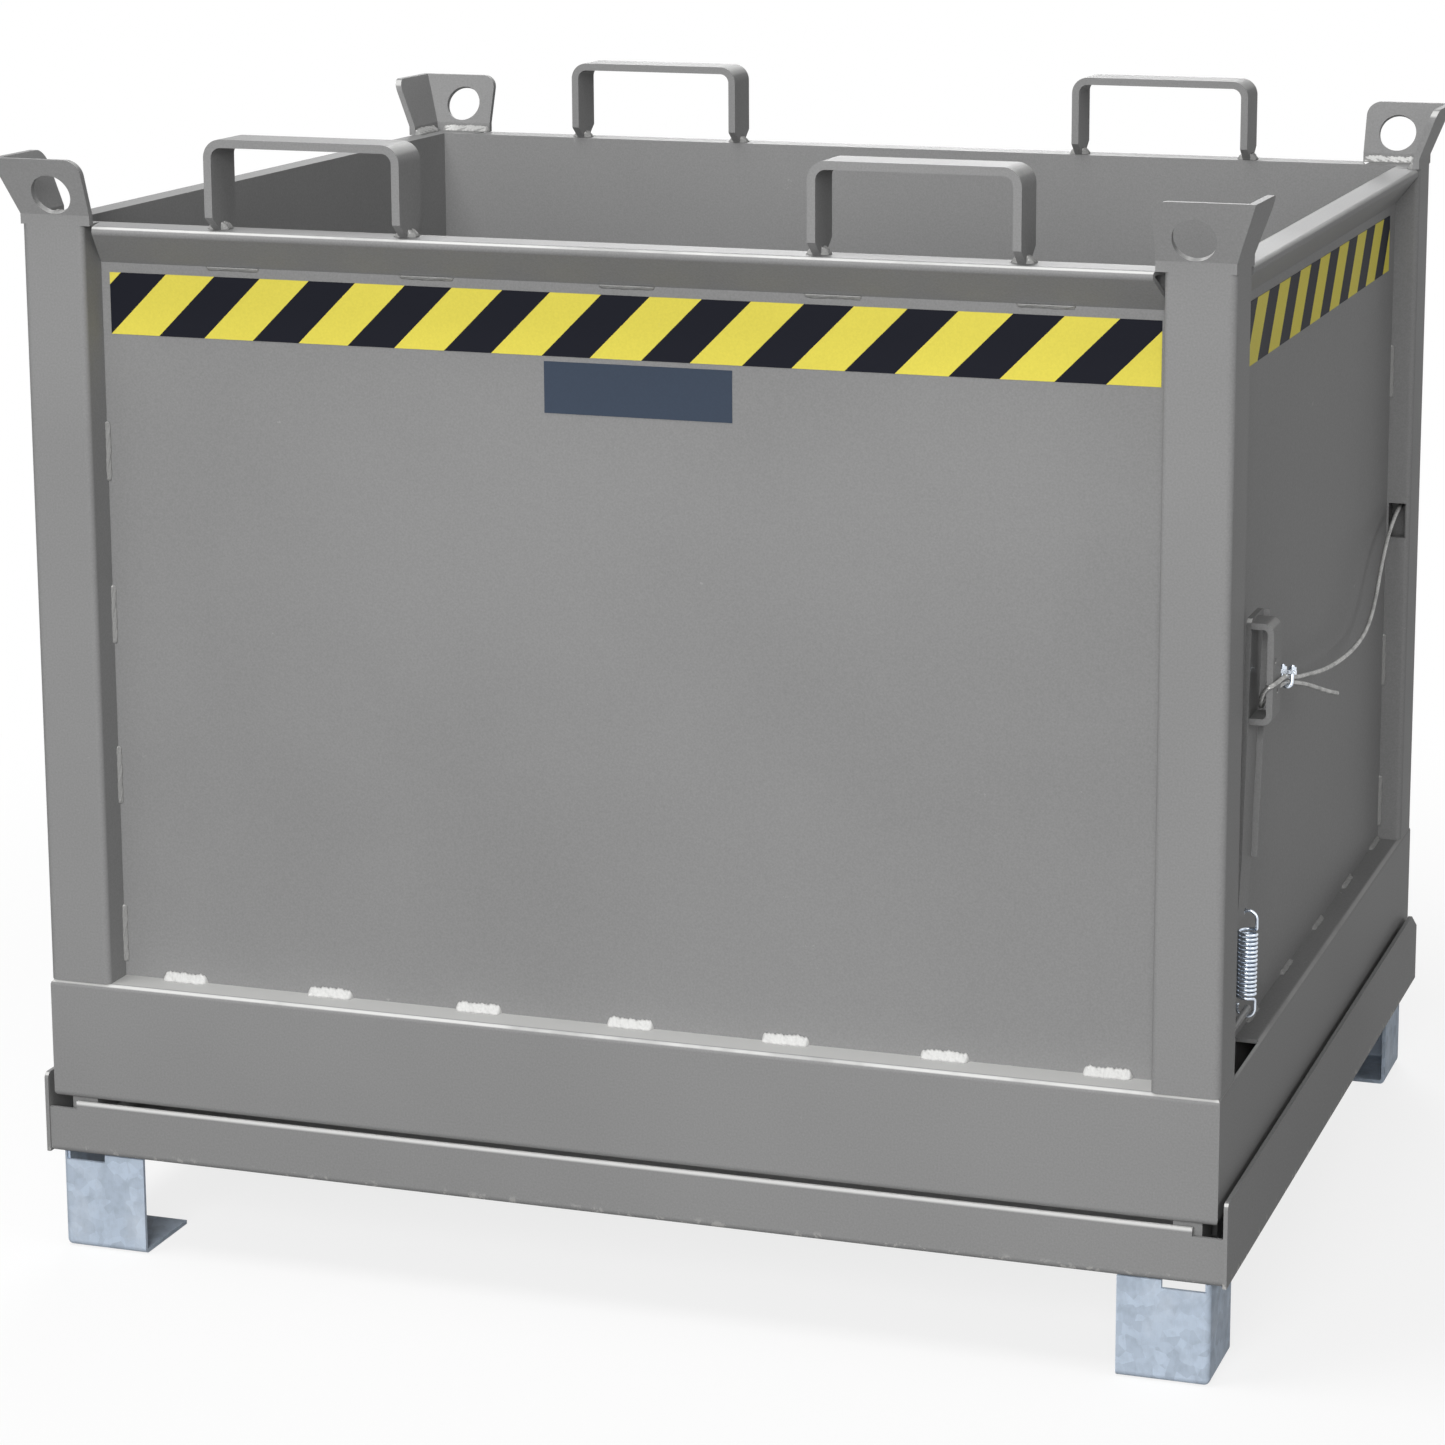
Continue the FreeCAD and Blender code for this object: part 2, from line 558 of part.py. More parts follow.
def make_welds():
    """Short fillet welds: band to walls, posts to walls, rims to walls, lugs and loops to the top."""
    ledge = []
    for x in row_centres(LEDGE_BEAD_COUNT, LEDGE_BEAD_PITCH, LEDGE_BEAD_SHIFT):
        start = Vector(x - LEDGE_BEAD_LENGTH / 2, -WALL_Y, BAND_TOP)
        bead = weld_bead(start, start + X * LEDGE_BEAD_LENGTH, -Y, Z, BEAD_RADIUS)
        ledge += [bead, bead.mirror(ORIGIN, Y)]
    for y in row_centres(SIDE_BEAD_COUNT, SIDE_BEAD_PITCH, SIDE_BEAD_SHIFT):
        start = Vector(WALL_X, y - LEDGE_BEAD_LENGTH / 2, BAND_TOP)
        bead = weld_bead(start, start + Y * LEDGE_BEAD_LENGTH, X, Z, STITCH_RADIUS)
        ledge += [bead, bead.mirror(ORIGIN, X)]
    pieces["ledge_welds"] = ledge

    posts = []
    window_foot = BAND_TOP + WINDOW_ABOVE_BAND
    for share in POST_STITCH_SHARES:
        low = BAND_TOP + share * WALL_HEIGHT
        high = low + POST_STITCH_LENGTH
        beside_window = low < window_foot + WINDOW_HEIGHT and high > window_foot
        front = Vector(POST_INNER_X, -WALL_Y, low)
        side = Vector(WALL_X, -POST_INNER_Y, low)
        front_bead = weld_bead(front, front + Z * POST_STITCH_LENGTH, -X, -Y, STITCH_RADIUS)
        side_bead = weld_bead(side, side + Z * POST_STITCH_LENGTH, X, Y, STITCH_RADIUS)
        for name, signs in CORNERS.items():
            posts.append(to_corner(front_bead, signs))
            if name != "rear_right" or not beside_window:
                posts.append(to_corner(side_bead, signs))
    pieces["post_welds"] = posts

    top = []
    rim_foot = RIM_TOP - RIM_DEPTH
    for x in row_centres(RIM_STITCH_COUNT, RIM_STITCH_PITCH, RIM_STITCH_SHIFT):
        start = Vector(x - RIM_STITCH_LENGTH / 2, -WALL_Y, rim_foot)
        bead = weld_bead(start, start + X * RIM_STITCH_LENGTH, -Y, -Z, STITCH_RADIUS)
        top += [bead, bead.mirror(ORIGIN, Y)]
    lug_inner = Vector(HALF_LENGTH - LUG_WIDTH, LUG_PLATE - HALF_WIDTH, RIM_TOP)
    lug_run = X * (LUG_WIDTH - POST_NOSE_BEND - LUG_PLATE)
    lug_side = Vector(HALF_LENGTH - LUG_PLATE, LUG_WIDTH - HALF_WIDTH, RIM_TOP)
    side_run = -Y * (LUG_WIDTH - POST_NOSE_BEND - LUG_PLATE)
    lug_beads = [weld_bead(lug_inner, lug_inner + lug_run, Y, Z, BEAD_RADIUS),
                 weld_bead(lug_side, lug_side + side_run, -X, Z, BEAD_RADIUS)]
    loop_beads = []
    for side_sign in (-1, 1):
        for face_sign in (-1, 1):
            x = LOOP_CENTRE + side_sign * (LOOP_WIDTH - LOOP_BAR) / 2 + face_sign * LOOP_BAR / 2
            start = Vector(x, (LOOP_DEPTH / 2 - HALF_WIDTH) - LOOP_BAR, RIM_TOP)
            loop_beads.append(weld_bead(start, start + Y * 2 * LOOP_BAR, X * face_sign, Z, BEAD_RADIUS))
    for signs in CORNERS.values():
        top += [to_corner(bead, signs) for bead in lug_beads + loop_beads]
    pieces["top_welds"] = top


def make_hinges():
    """Ears on the rear band, knuckles on the pan and the pins through both."""
    ears = []
    pins = []
    knuckles = []
    centre = Vector(0, HINGE_Y, HINGE_Z)
    outer_y = HINGE_Y + KNUCKLE_RADIUS
    neck_top = BAND_BOTTOM + EAR_HEIGHT
    inner_gap = KNUCKLE_LENGTH / 2 + KNUCKLE_SIDE_GAP
    for x in row_centres(HINGE_COUNT, HINGE_PITCH, 0):
        place = centre + X * x
        bore = rod(place - X * (KNUCKLE_LENGTH + EAR_THICKNESS), place + X * (KNUCKLE_LENGTH + EAR_THICKNESS),
                   PIN_RADIUS + BORE_GAP)
        behind = block((x - KNUCKLE_LENGTH, x + KNUCKLE_LENGTH), (HALF_WIDTH - OVERRUN, HALF_WIDTH),
                       (HINGE_Z - OVERRUN, HINGE_Z + OVERRUN))
        for sign in (-1, 1):
            near = x + sign * inner_gap
            far = near + sign * EAR_THICKNESS
            neck = prism_x([(HALF_WIDTH, HINGE_Z), (outer_y, HINGE_Z), (outer_y, BAND_BOTTOM),
                            (HALF_WIDTH + EAR_NECK, neck_top), (HALF_WIDTH, neck_top)], (near, far))
            eye = rod(Vector(min(near, far), HINGE_Y, HINGE_Z), Vector(max(near, far), HINGE_Y, HINGE_Z),
                      KNUCKLE_RADIUS)
            ears.append(eye.cut(behind).fuse(neck).removeSplitter().cut(bore))
        barrel = rod(place - X * (KNUCKLE_LENGTH / 2), place + X * (KNUCKLE_LENGTH / 2), KNUCKLE_RADIUS)
        knuckles.append(barrel.cut(behind).cut(bore))
        reach = inner_gap + EAR_THICKNESS
        pin = rod(place - X * reach, place + X * (reach + PIN_HEAD), PIN_RADIUS)
        head = rod(place - X * (reach + PIN_HEAD), place - X * reach, PIN_HEAD_RADIUS)
        pins.append(pin.fuse(head))
    pieces["hinge_ears"] = ears
    pieces["hinge_pins"] = pins
    pieces["hinge_knuckles"] = knuckles


def make_pan():
    """The flap: a folded floor with front and rear lips, two side walls, ribs and rests."""
    outer = [(-HALF_WIDTH, LIP_TOP), (-HALF_WIDTH, GROUND_CLEARANCE), (HALF_WIDTH, GROUND_CLEARANCE),
             (HALF_WIDTH, LIP_TOP)]
    inner = [(HALF_WIDTH - SHEET, LIP_TOP), (HALF_WIDTH - SHEET, FLOOR_TOP), (SHEET - HALF_WIDTH, FLOOR_TOP),
             (SHEET - HALF_WIDTH, LIP_TOP)]
    tight = BEND - SHEET
    pan = prism_x(outer + inner, (-PAN_INNER_X, PAN_INNER_X), [0, BEND, BEND, 0, 0, tight, tight, 0])
    for sign in (-1, 1):
        ends = (sign * (PAN_INNER_X - LIP_NOTCH_LENGTH), sign * (PAN_INNER_X + OVERRUN))
        lip = (-HALF_WIDTH - OVERRUN, SHEET - HALF_WIDTH)
        pan = pan.cut(block(ends, lip, (LIP_TOP - LIP_NOTCH_DEPTH, LIP_TOP)))
    ear_outer = KNUCKLE_LENGTH / 2 + KNUCKLE_SIDE_GAP + EAR_THICKNESS + PIN_HEAD + NOTCH_GAP
    ear_inner = KNUCKLE_LENGTH / 2 - NOTCH_GAP
    for x in row_centres(HINGE_COUNT, HINGE_PITCH, 0):
        for sign in (-1, 1):
            start = Vector(x + sign * ear_inner, HINGE_Y, HINGE_Z)
            end = Vector(x + sign * ear_outer, HINGE_Y, HINGE_Z)
            pan = pan.cut(rod(start, end, KNUCKLE_RADIUS + NOTCH_GAP))
    pieces["pan_floor"] = pan

    top = GROUND_CLEARANCE + PAN_WALL_HEIGHT
    rear = HALF_WIDTH + SHEET
    front = -HALF_WIDTH - PAN_WALL_END_GAP
    side = [(front, GROUND_CLEARANCE), (rear, GROUND_CLEARANCE), (rear, top - PAN_REAR_DROP),
            (rear - PAN_REAR_SLOPE, top), (front, top)]
    wall = prism_x(side, (PAN_INNER_X, PAN_X), [0, 0, 0, 0, BEND])
    pieces["pan_side_right"] = wall
    pieces["pan_side_left"] = wall.mirror(ORIGIN, X)

    ribs = []
    rib_bottom = GROUND_CLEARANCE - RIB_HEIGHT
    half = RIB_WIDTH / 2
    for y in row_centres(RIB_COUNT, RIB_PITCH, 0):
        section = [(y - half, GROUND_CLEARANCE), (y - half, rib_bottom), (y + half, rib_bottom),
                   (y + half, GROUND_CLEARANCE), (y + half - SHEET, GROUND_CLEARANCE),
                   (y + half - SHEET, rib_bottom + SHEET), (y - half + SHEET, rib_bottom + SHEET),
                   (y - half + SHEET, GROUND_CLEARANCE)]
        bends = [0, BEND, BEND, 0, 0, tight, tight, 0]
        ribs.append(prism_x(section, (-RIB_LENGTH / 2, RIB_LENGTH / 2), bends))
    pieces["pan_ribs"] = ribs

    rest_x = HALF_LENGTH - REST_INSET_X
    rest_y = -HALF_WIDTH + REST_INSET_Y
    rest = block((rest_x - REST_LENGTH, rest_x), (rest_y, rest_y + REST_DEPTH),
                 (FLOOR_TOP, BAND_BOTTOM - FACE_GAP))
    pieces["rest_blocks"] = [to_corner(rest, signs) for signs in CORNERS.values()]

    plate_x = WALL_X - SHEET - KEEPER_PLATE_OFF_WALL
    plate = block((plate_x - KEEPER_PLATE, plate_x),
                  (KEEPER_Y - KEEPER_PLATE_WIDTH / 2, KEEPER_Y + KEEPER_PLATE_WIDTH / 2),
                  (FLOOR_TOP, FLOOR_TOP + KEEPER_PLATE_HEIGHT))
    bar = rod(Vector(plate_x, KEEPER_Y, KEEPER_Z), Vector(PAN_INNER_X, KEEPER_Y, KEEPER_Z), KEEPER_RADIUS)
    pieces["keeper"] = [plate, bar]


def make_feet():
    """Galvanised feet bent from one plate each: two upright sides and a sole."""
    outer_x = HALF_LENGTH - FOOT_INSET_X
    outer_y = -HALF_WIDTH + FOOT_INSET_Y
    inner_x = outer_x - FOOT_SIZE
    inner_y = outer_y + FOOT_SIZE
    body = block((inner_x, outer_x), (outer_y, inner_y), (0, GROUND_CLEARANCE))
    hollow = block((inner_x - OVERRUN, outer_x - SHEET), (outer_y + SHEET, inner_y + OVERRUN),
                   (SHEET, GROUND_CLEARANCE + OVERRUN))
    body = rounded_outer_edges(body, outer_x, outer_y, 0, BEND)
    hollow = rounded_outer_edges(hollow, outer_x - SHEET, outer_y + SHEET, SHEET, BEND - SHEET)
    foot = body.cut(hollow)
    notch = block((inner_x + FOOT_NOTCH_START, outer_x - SHEET), (outer_y - OVERRUN, outer_y + SHEET),
                  (GROUND_CLEARANCE - FOOT_NOTCH_DEPTH, GROUND_CLEARANCE + OVERRUN))
    foot = foot.cut(notch)
    for end, sign_y in (("front", -1), ("rear", 1)):
        pieces["feet_" + end] = [to_corner(foot, (sign_x, sign_y)) for sign_x in (-1, 1)]


def rounded_outer_edges(box, x, y, z, radius):
    """Rounds the three edges that meet at one corner of a box."""
    corner = Vector(x, y, z)
    chosen = [edge for edge in box.Edges if any(v.Point.isEqual(corner, SKIN) for v in edge.Vertexes)]
    return box.makeFillet(radius, chosen)


def make_lever():
    """The release lever: a strap that stands beside the panel and hooks under the pan's keeper."""
    def edge_points(shares):
        return [(PIVOT_Y + y * LEVER_LENGTH, PIVOT_Z + z * LEVER_LENGTH) for y, z in shares]

    rear = edge_points(LEVER_REAR_SHARES)
    front = edge_points(LEVER_FRONT_SHARES)
    half = SHANK_WIDTH / 2
    nose_top = PIVOT_Z - NOSE_TOP_DROP
    nose_bottom = nose_top - NOSE_HEIGHT
    tip = PIVOT_Y + half + NOSE_LENGTH
    hook = [(PIVOT_Y - half, PIVOT_Z), (PIVOT_Y - half, nose_bottom + NOSE_CHAMFER),
            (PIVOT_Y - half + NOSE_CHAMFER, nose_bottom), (tip - NOSE_CHAMFER, nose_bottom),
            (tip, nose_bottom + NOSE_CHAMFER), (tip, nose_top), (PIVOT_Y + half, nose_top),
            (PIVOT_Y + half, PIVOT_Z)]
    full_x = (LEVER_LOW_X - OVERRUN, LEVER_FACE_X + OVERRUN)
    strap = [(PIVOT_Y, PIVOT_Z)] + rear + front
    radii = [0] * len(rear) + [LEVER_TOP_ROUND, LEVER_TOP_ROUND] + [0] * (len(front) - 1)
    pivot = Vector(LEVER_LOW_X, PIVOT_Y, PIVOT_Z)
    silhouette = prism_x(strap, full_x, radii).fuse(prism_x(hook, full_x))
    boss = rod(pivot - X * OVERRUN, pivot + X * (OVERRUN + LEVER_JOG), LEVER_BOSS_RADIUS)
    silhouette = silhouette.fuse(boss)

    jog_low = PIVOT_Z + LEVER_JOG_START
    jog_high = jog_low + LEVER_JOG
    low = nose_bottom - OVERRUN
    top = PIVOT_Z + LEVER_LENGTH + OVERRUN
    sheet = [(LEVER_LOW_X, low), (LEVER_LOW_X + LEVER_SHEET, low), (LEVER_LOW_X + LEVER_SHEET, jog_low),
             (LEVER_FACE_X, jog_high), (LEVER_FACE_X, top), (LEVER_HIGH_X, top), (LEVER_HIGH_X, jog_high),
             (LEVER_LOW_X, jog_low)]
    lever = prism_y(sheet, (PIVOT_Y - LEVER_LENGTH, PIVOT_Y + LEVER_LENGTH)).common(silhouette)

    upper = rear[-1]
    lower = rear[-3]
    flange = prism_x([upper, lower, (lower[0] - LEVER_SHEET, lower[1]), (upper[0] - LEVER_SHEET, upper[1])],
                     (LEVER_FACE_X, LEVER_FACE_X + LEVER_FLANGE))
    flange = flange.common(silhouette)
    lever = lever.fuse(flange).removeSplitter()
    lever = lever.cut(rod(pivot - X * OVERRUN, pivot + X * OVERRUN, PIVOT_RADIUS + BORE_GAP))
    hole = spring_hook_crossing()
    pieces["release_lever"] = lever.cut(rod(hole - X * OVERRUN, hole + X * OVERRUN, HOOK_HOLE_RADIUS))

    base = Vector(WALL_X, PIVOT_Y, PIVOT_Z)
    pieces["pivot_pin"] = rod(base, Vector(BAND_WEB_X, PIVOT_Y, PIVOT_Z), PIVOT_RADIUS)
    bore = rod(base, base + X * SIDE_RECESS, PIVOT_RADIUS + BORE_GAP)
    inner = rod(base, base + X * (LEVER_OFF_WALL - FACE_GAP), SPACER_RADIUS)
    start = Vector(LEVER_LOW_X + LEVER_SHEET + FACE_GAP, PIVOT_Y, PIVOT_Z)
    outer = rod(start, Vector(BAND_WEB_X, PIVOT_Y, PIVOT_Z), SPACER_RADIUS)
    pieces["pivot_spacers"] = [inner.cut(bore), outer.cut(bore)]


def make_stirrup():
    """A bent bar on the lever's face that carries the rope's eye."""
    out = LEVER_FACE_X + STIRRUP_OUT
    low = PIVOT_Z + STIRRUP_ABOVE_PIVOT
    high = low + STIRRUP_HEIGHT
    tight = STIRRUP_BEND - STIRRUP_BAR
    outline = [(LEVER_FACE_X, low), (out, low), (out, high), (LEVER_FACE_X, high),
               (LEVER_FACE_X, high - STIRRUP_BAR), (out - STIRRUP_BAR, high - STIRRUP_BAR),
               (out - STIRRUP_BAR, low + STIRRUP_BAR), (LEVER_FACE_X, low + STIRRUP_BAR)]
    radii = [0, STIRRUP_BEND, STIRRUP_BEND, 0, 0, tight, tight, 0]
    stirrup = prism_y(outline, (STIRRUP_FRONT, STIRRUP_FRONT + STIRRUP_WIDTH), radii)
    for y_share, z_share in STIRRUP_HOLE_SHARES:
        place = Vector(out, STIRRUP_FRONT + y_share * STIRRUP_WIDTH, low + z_share * STIRRUP_HEIGHT)
        stirrup = stirrup.cut(rod(place - X * 2 * STIRRUP_BAR, place + X * STIRRUP_BAR, STIRRUP_HOLE_RADIUS))
    pieces["rope_stirrup"] = stirrup


def spring_frame():
    """Base point and unit axis of the coil, which leans to the rear as it rises."""
    base = Vector(SPRING_X, SPRING_BASE_Y, BAND_TOP + SPRING_BASE_ABOVE_LEDGE)
    axis = Vector(0, SPRING_LEAN, COIL_TURNS * COIL_PITCH).normalize()
    return base, axis, X.cross(axis)


def spring_hook_crossing():
    """Where the spring's upper hook goes through the lever's sheet."""
    base, axis, _ = spring_frame()
    centre = base + axis * (COIL_TURNS * COIL_PITCH + HOOK_RISE)
    offset = SPRING_X - (LEVER_FACE_X - LEVER_SHEET / 2)
    place = centre + axis * math.sqrt(COIL_RADIUS ** 2 - offset ** 2)
    return Vector(LEVER_HIGH_X, place.y, place.z)


def tangent_arc(start, toward, end):
    """An arc from start to end whose tangents meet at a point between them."""
    chord_middle = (start + end) * 0.5
    cosine = (end - start).Length / 2 / (toward - start).Length
    middle = chord_middle + (toward - chord_middle) * (cosine / (1 + cosine))
    return Part.Arc(start, middle, end)


def biarc(start, start_way, end, end_way):
    """Two arcs that join two points and follow a given direction at each."""
    span = end - start
    both = start_way + end_way
    a = both.dot(both) - 4
    b = -2 * span.dot(both)
    c = span.dot(span)
    reach = (-b - math.sqrt(b * b - 4 * a * c)) / (2 * a)
    first = start + start_way * reach
    second = end - end_way * reach
    joint = (first + second) * 0.5
    return [tangent_arc(start, first, joint), tangent_arc(joint, second, end)]


def make_spring():
    """An extension spring, one wire: closed hook, coil, open hook."""
    base, axis, depth = spring_frame()

    def around(angle, rise):
        turned = X * math.cos(angle) + depth * math.sin(angle)
        way = depth * math.cos(angle) - X * math.sin(angle)
        climb = COIL_PITCH / (2 * math.pi * COIL_RADIUS)
        return base + turned * COIL_RADIUS + axis * rise, (way + axis * climb).normalize()

    def hook_point(centre_rise, angle, sense):
        out = X * math.cos(angle) + axis * (sense * math.sin(angle))
        way = (axis * math.cos(angle) * sense - X * math.sin(angle)) * sense
        return base + axis * centre_rise + out * COIL_RADIUS, way

    blend = math.radians(HOOK_BLEND_ANGLE)
    full = 2 * math.pi * COIL_TURNS
    length = COIL_TURNS * COIL_PITCH
    arcs = []

    low_end = math.radians(HOOK_CLOSED_ANGLE)
    stops = [low_end * (1 - index / 2) for index in range(3)]
    for first, last in zip(stops[:-1], stops[1:]):
        middle = (first + last) / 2
        points = [hook_point(-HOOK_RISE, angle, -1)[0] for angle in (first, middle, last)]
        arcs.append(Part.Arc(*points))
    rise_point = base + X * COIL_RADIUS - axis * HOOK_BLEND_RISE
    arcs.append(Part.LineSegment(hook_point(-HOOK_RISE, 0, -1)[0], rise_point))
    coil_start, start_way = around(blend, 0)
    arcs += biarc(rise_point, axis, coil_start, start_way)

    steps = 2 * COIL_TURNS
    sweep = full - 2 * blend
    previous = (coil_start, start_way)
    for index in range(1, steps + 1):
        part = index / steps
        current = around(blend + sweep * part, length * part)
        arcs += biarc(previous[0], previous[1], current[0], current[1])
        previous = current

    top_point = base + X * COIL_RADIUS + axis * (length + HOOK_BLEND_RISE)
    arcs += biarc(previous[0], previous[1], top_point, axis)
    arcs.append(Part.LineSegment(top_point, hook_point(length + HOOK_RISE, 0, 1)[0]))
    high_end = math.radians(HOOK_OPEN_ANGLE)
    stops = [high_end * index / 2 for index in range(3)]
    for first, last in zip(stops[:-1], stops[1:]):
        middle = (first + last) / 2
        points = [hook_point(length + HOOK_RISE, angle, 1)[0] for angle in (first, middle, last)]
        arcs.append(Part.Arc(*points))

    edges = [arc.toShape() for arc in arcs]
    wire = Part.Wire(edges)
    start = edges[0].Vertexes[0].Point
    way = edges[0].tangentAt(edges[0].FirstParameter)
    profile = Part.Wire([Part.makeCircle(WIRE_RADIUS, start, way)])
    pieces["return_spring"] = wire.makePipeShell([profile], True, False)
    report_self_gap("return_spring", wire, WIRE_RADIUS)
    radii = [edge.Curve.Radius for edge in edges if hasattr(edge.Curve, "Radius")]
    print("return_spring tightest arc", round(min(radii), 2), "wire diameter", 2 * WIRE_RADIUS)

    peg_centre = base - axis * (HOOK_RISE + COIL_RADIUS - WIRE_RADIUS - PEG_RADIUS - FACE_GAP)
    peg_start = Vector(SPRING_X, -POST_INNER_Y, peg_centre.z)
    peg_end = Vector(SPRING_X, peg_centre.y + PEG_PAST_SPRING, peg_centre.z)
    pieces["spring_peg"] = rod(peg_start, peg_end, PEG_RADIUS)


def report_self_gap(name, wire, radius):
    """Prints the least gap of a wound tube to itself, measured on evenly spaced points."""
    spacing = radius / 2
    points = wire.discretize(Distance=spacing)
    skip = int(3 * math.pi * radius / spacing)
    least = min((points[i] - points[j]).Length
                for i in range(0, len(points), 2) for j in range(i + skip, len(points), 2))
    print(name, "least gap to itself", round(least - 2 * radius, 2))


def cord_tube(name, points, radius):
    """A tube along straight runs joined by tangent arcs that are as large as the runs allow."""
    edges = []
    radii = []
    previous = points[0]
    for before, corner, after in zip(points[:-2], points[1:-1], points[2:]):
        turn = (corner - before).getAngle(after - corner)
        run = min((corner - before).Length, (after - corner).Length)
        bend = ARC_SHARE * run / math.tan(turn / 2)
        start, middle, end = corner_arc(before, corner, after, bend)
        edges.append(Part.LineSegment(previous, start).toShape())
        edges.append(Part.Arc(start, middle, end).toShape())
        radii.append(bend)
        previous = end
    edges.append(Part.LineSegment(previous, points[-1]).toShape())
    wire = Part.Wire(edges)
    profile = Part.Wire([Part.makeCircle(radius, points[0], points[1] - points[0])])
    tube = wire.makePipeShell([profile], True, False)
    ideal = math.pi * radius ** 2 * wire.Length
    print(name, "length", round(wire.Length), "radii", [round(value) for value in radii],
          "volume share", round(tube.Volume / ideal, 3))
    return tube


def clip_frame():
    """Centre, run direction and upward direction of the rope clip."""
    tilt = math.radians(CLIP_TILT)
    run = Vector(0, math.cos(tilt), -math.sin(tilt))
    up = Vector(0, math.sin(tilt), math.cos(tilt))
    return CLIP_CENTRE, run, up


def beside_wall(start, points, stretch=1):
    """Route points beside the right panel, their distances behind a start stretched by a share."""
    return [Vector(WALL_X + out, start + behind * stretch, BAND_TOP + above) for out, behind, above in points]


def make_ropes():
    """The pull rope: eye on the stirrup, free tail, the sagging run, and the end with its grip."""
    centre, run, up = clip_frame()
    live = centre + up * STRAND_OFFSET
    tail = centre - up * STRAND_OFFSET
    out = LEVER_FACE_X + STIRRUP_OUT
    gap = ROPE_RADIUS + ROPE_TOUCH
    inner_x = out - STIRRUP_BAR - gap
    outer_x = out + gap
    front = STIRRUP_FRONT - 2 * gap - ROPE_TOUCH
    eye = [live + run * CLIP_RUN, live - run * CLIP_RUN]
    eye += beside_wall(PIVOT_Y, EYE_REAR_POINTS)
    eye += [Vector(outer_x, front, BAND_TOP + EYE_TURN_HIGH), Vector(inner_x, front, BAND_TOP + EYE_TURN_LOW)]
    eye += beside_wall(PIVOT_Y, EYE_INNER_POINTS)
    eye += [tail - run * CLIP_RUN, tail + run * CLIP_RUN]
    pieces["rope_eye"] = cord_tube("rope_eye", eye, ROPE_RADIUS)
    loose = [tail + run * CLIP_RUN, tail + run * (CLIP_RUN + CLIP_LEAD)]
    loose += beside_wall(PIVOT_Y, TAIL_POINTS)
    pieces["rope_tail"] = cord_tube("rope_tail", loose, ROPE_RADIUS)
    sag = [live + run * CLIP_RUN, live + run * (CLIP_RUN + CLIP_LEAD)]
    sag += beside_wall(centre.y, SAG_POINTS, (HALF_WIDTH - centre.y) / ROPE_SPAN)
    sag += [ROPE_EXIT]
    pieces["pull_rope"] = cord_tube("pull_rope", sag, ROPE_RADIUS)
    last = (sag[-1] - sag[-2]).normalize()
    hanging = [ROPE_EXIT, ROPE_EXIT + last * ROPE_LEAD_OUT]
    hanging += beside_wall(HALF_WIDTH, HANG_POINTS)
    pieces["pull_rope_end"] = cord_tube("pull_rope_end", hanging, ROPE_RADIUS)
    make_grip(hanging[-1], (hanging[-1] - hanging[-2]).normalize())


def make_grip(top, way):
    """A turned hand grip with a waist, and the pressed ferrule under it."""
    half = GRIP_LENGTH / 2
    outline = [Vector(0, 0, 0), Vector(GRIP_RADIUS, 0, 0), Vector(GRIP_WAIST_RADIUS, 0, half),
               Vector(GRIP_RADIUS, 0, GRIP_LENGTH), Vector(0, 0, GRIP_LENGTH)]
    face = outline_face(outline, [0, GRIP_END_ROUND, half, GRIP_END_ROUND, 0])
    grip = face.revolve(ORIGIN, Z, FULL_TURN)
    ferrule = Part.makeCylinder(FERRULE_RADIUS, FERRULE_LENGTH, Z * GRIP_LENGTH, Z)
    turn = FreeCAD.Placement(top, FreeCAD.Rotation(Z, way))
    grip.Placement = turn
    ferrule.Placement = turn.multiply(ferrule.Placement)
    pieces["pull_grip"] = grip
    pieces["grip_ferrule"] = ferrule


def make_clip():
    """The wire rope clip: a saddle on the live strand, a U bolt round both, two nuts."""
    centre, run, up = clip_frame()
    frame = FreeCAD.Placement(centre, FreeCAD.Rotation(X, run, up, "ZYX"))
    leg = ROPE_RADIUS + U_BOLT_RADIUS + 3 * ROPE_TOUCH
    saddle_low = STRAND_OFFSET + ROPE_RADIUS + ROPE_TOUCH
    saddle_high = saddle_low + SADDLE_HEIGHT
    bolt_top = saddle_high + NUT_HEIGHT + BOLT_PAST_NUT
    saddle = block((-SADDLE_WIDTH / 2, SADDLE_WIDTH / 2), (-SADDLE_LENGTH / 2, SADDLE_LENGTH / 2),
                   (saddle_low, saddle_high))
    low = Z * -STRAND_OFFSET
    left = low - X * leg
    right = low + X * leg
    climb = Z * (bolt_top + STRAND_OFFSET)
    path = Part.Wire([Part.LineSegment(left + climb, left).toShape(),
                      Part.Arc(left, low - Z * leg, right).toShape(),
                      Part.LineSegment(right, right + climb).toShape()])
    profile = Part.Wire([Part.makeCircle(U_BOLT_RADIUS, left + climb, Z)])
    bolt = path.makePipeShell([profile], True, False)
    nuts = []
    for sign in (-1, 1):
        foot = X * (sign * leg)
        hole = Part.makeCylinder(U_BOLT_RADIUS + BORE_GAP, bolt_top + OVERRUN, foot - Z * OVERRUN / 2)
        saddle = saddle.cut(hole)
        turns = [side * math.pi / 3 for side in range(6)]
        corners = [(foot.x + NUT_CORNER_RADIUS * math.sin(turn), NUT_CORNER_RADIUS * math.cos(turn))
                   for turn in turns]
        nuts.append(prism_z(corners, (saddle_high, saddle_high + NUT_HEIGHT)).cut(hole))
    for shape in [saddle, bolt] + nuts:
        shape.Placement = frame
    pieces["rope_clip_saddle"] = saddle
    pieces["rope_clip_bolt"] = bolt
    pieces["rope_clip_nuts"] = nuts


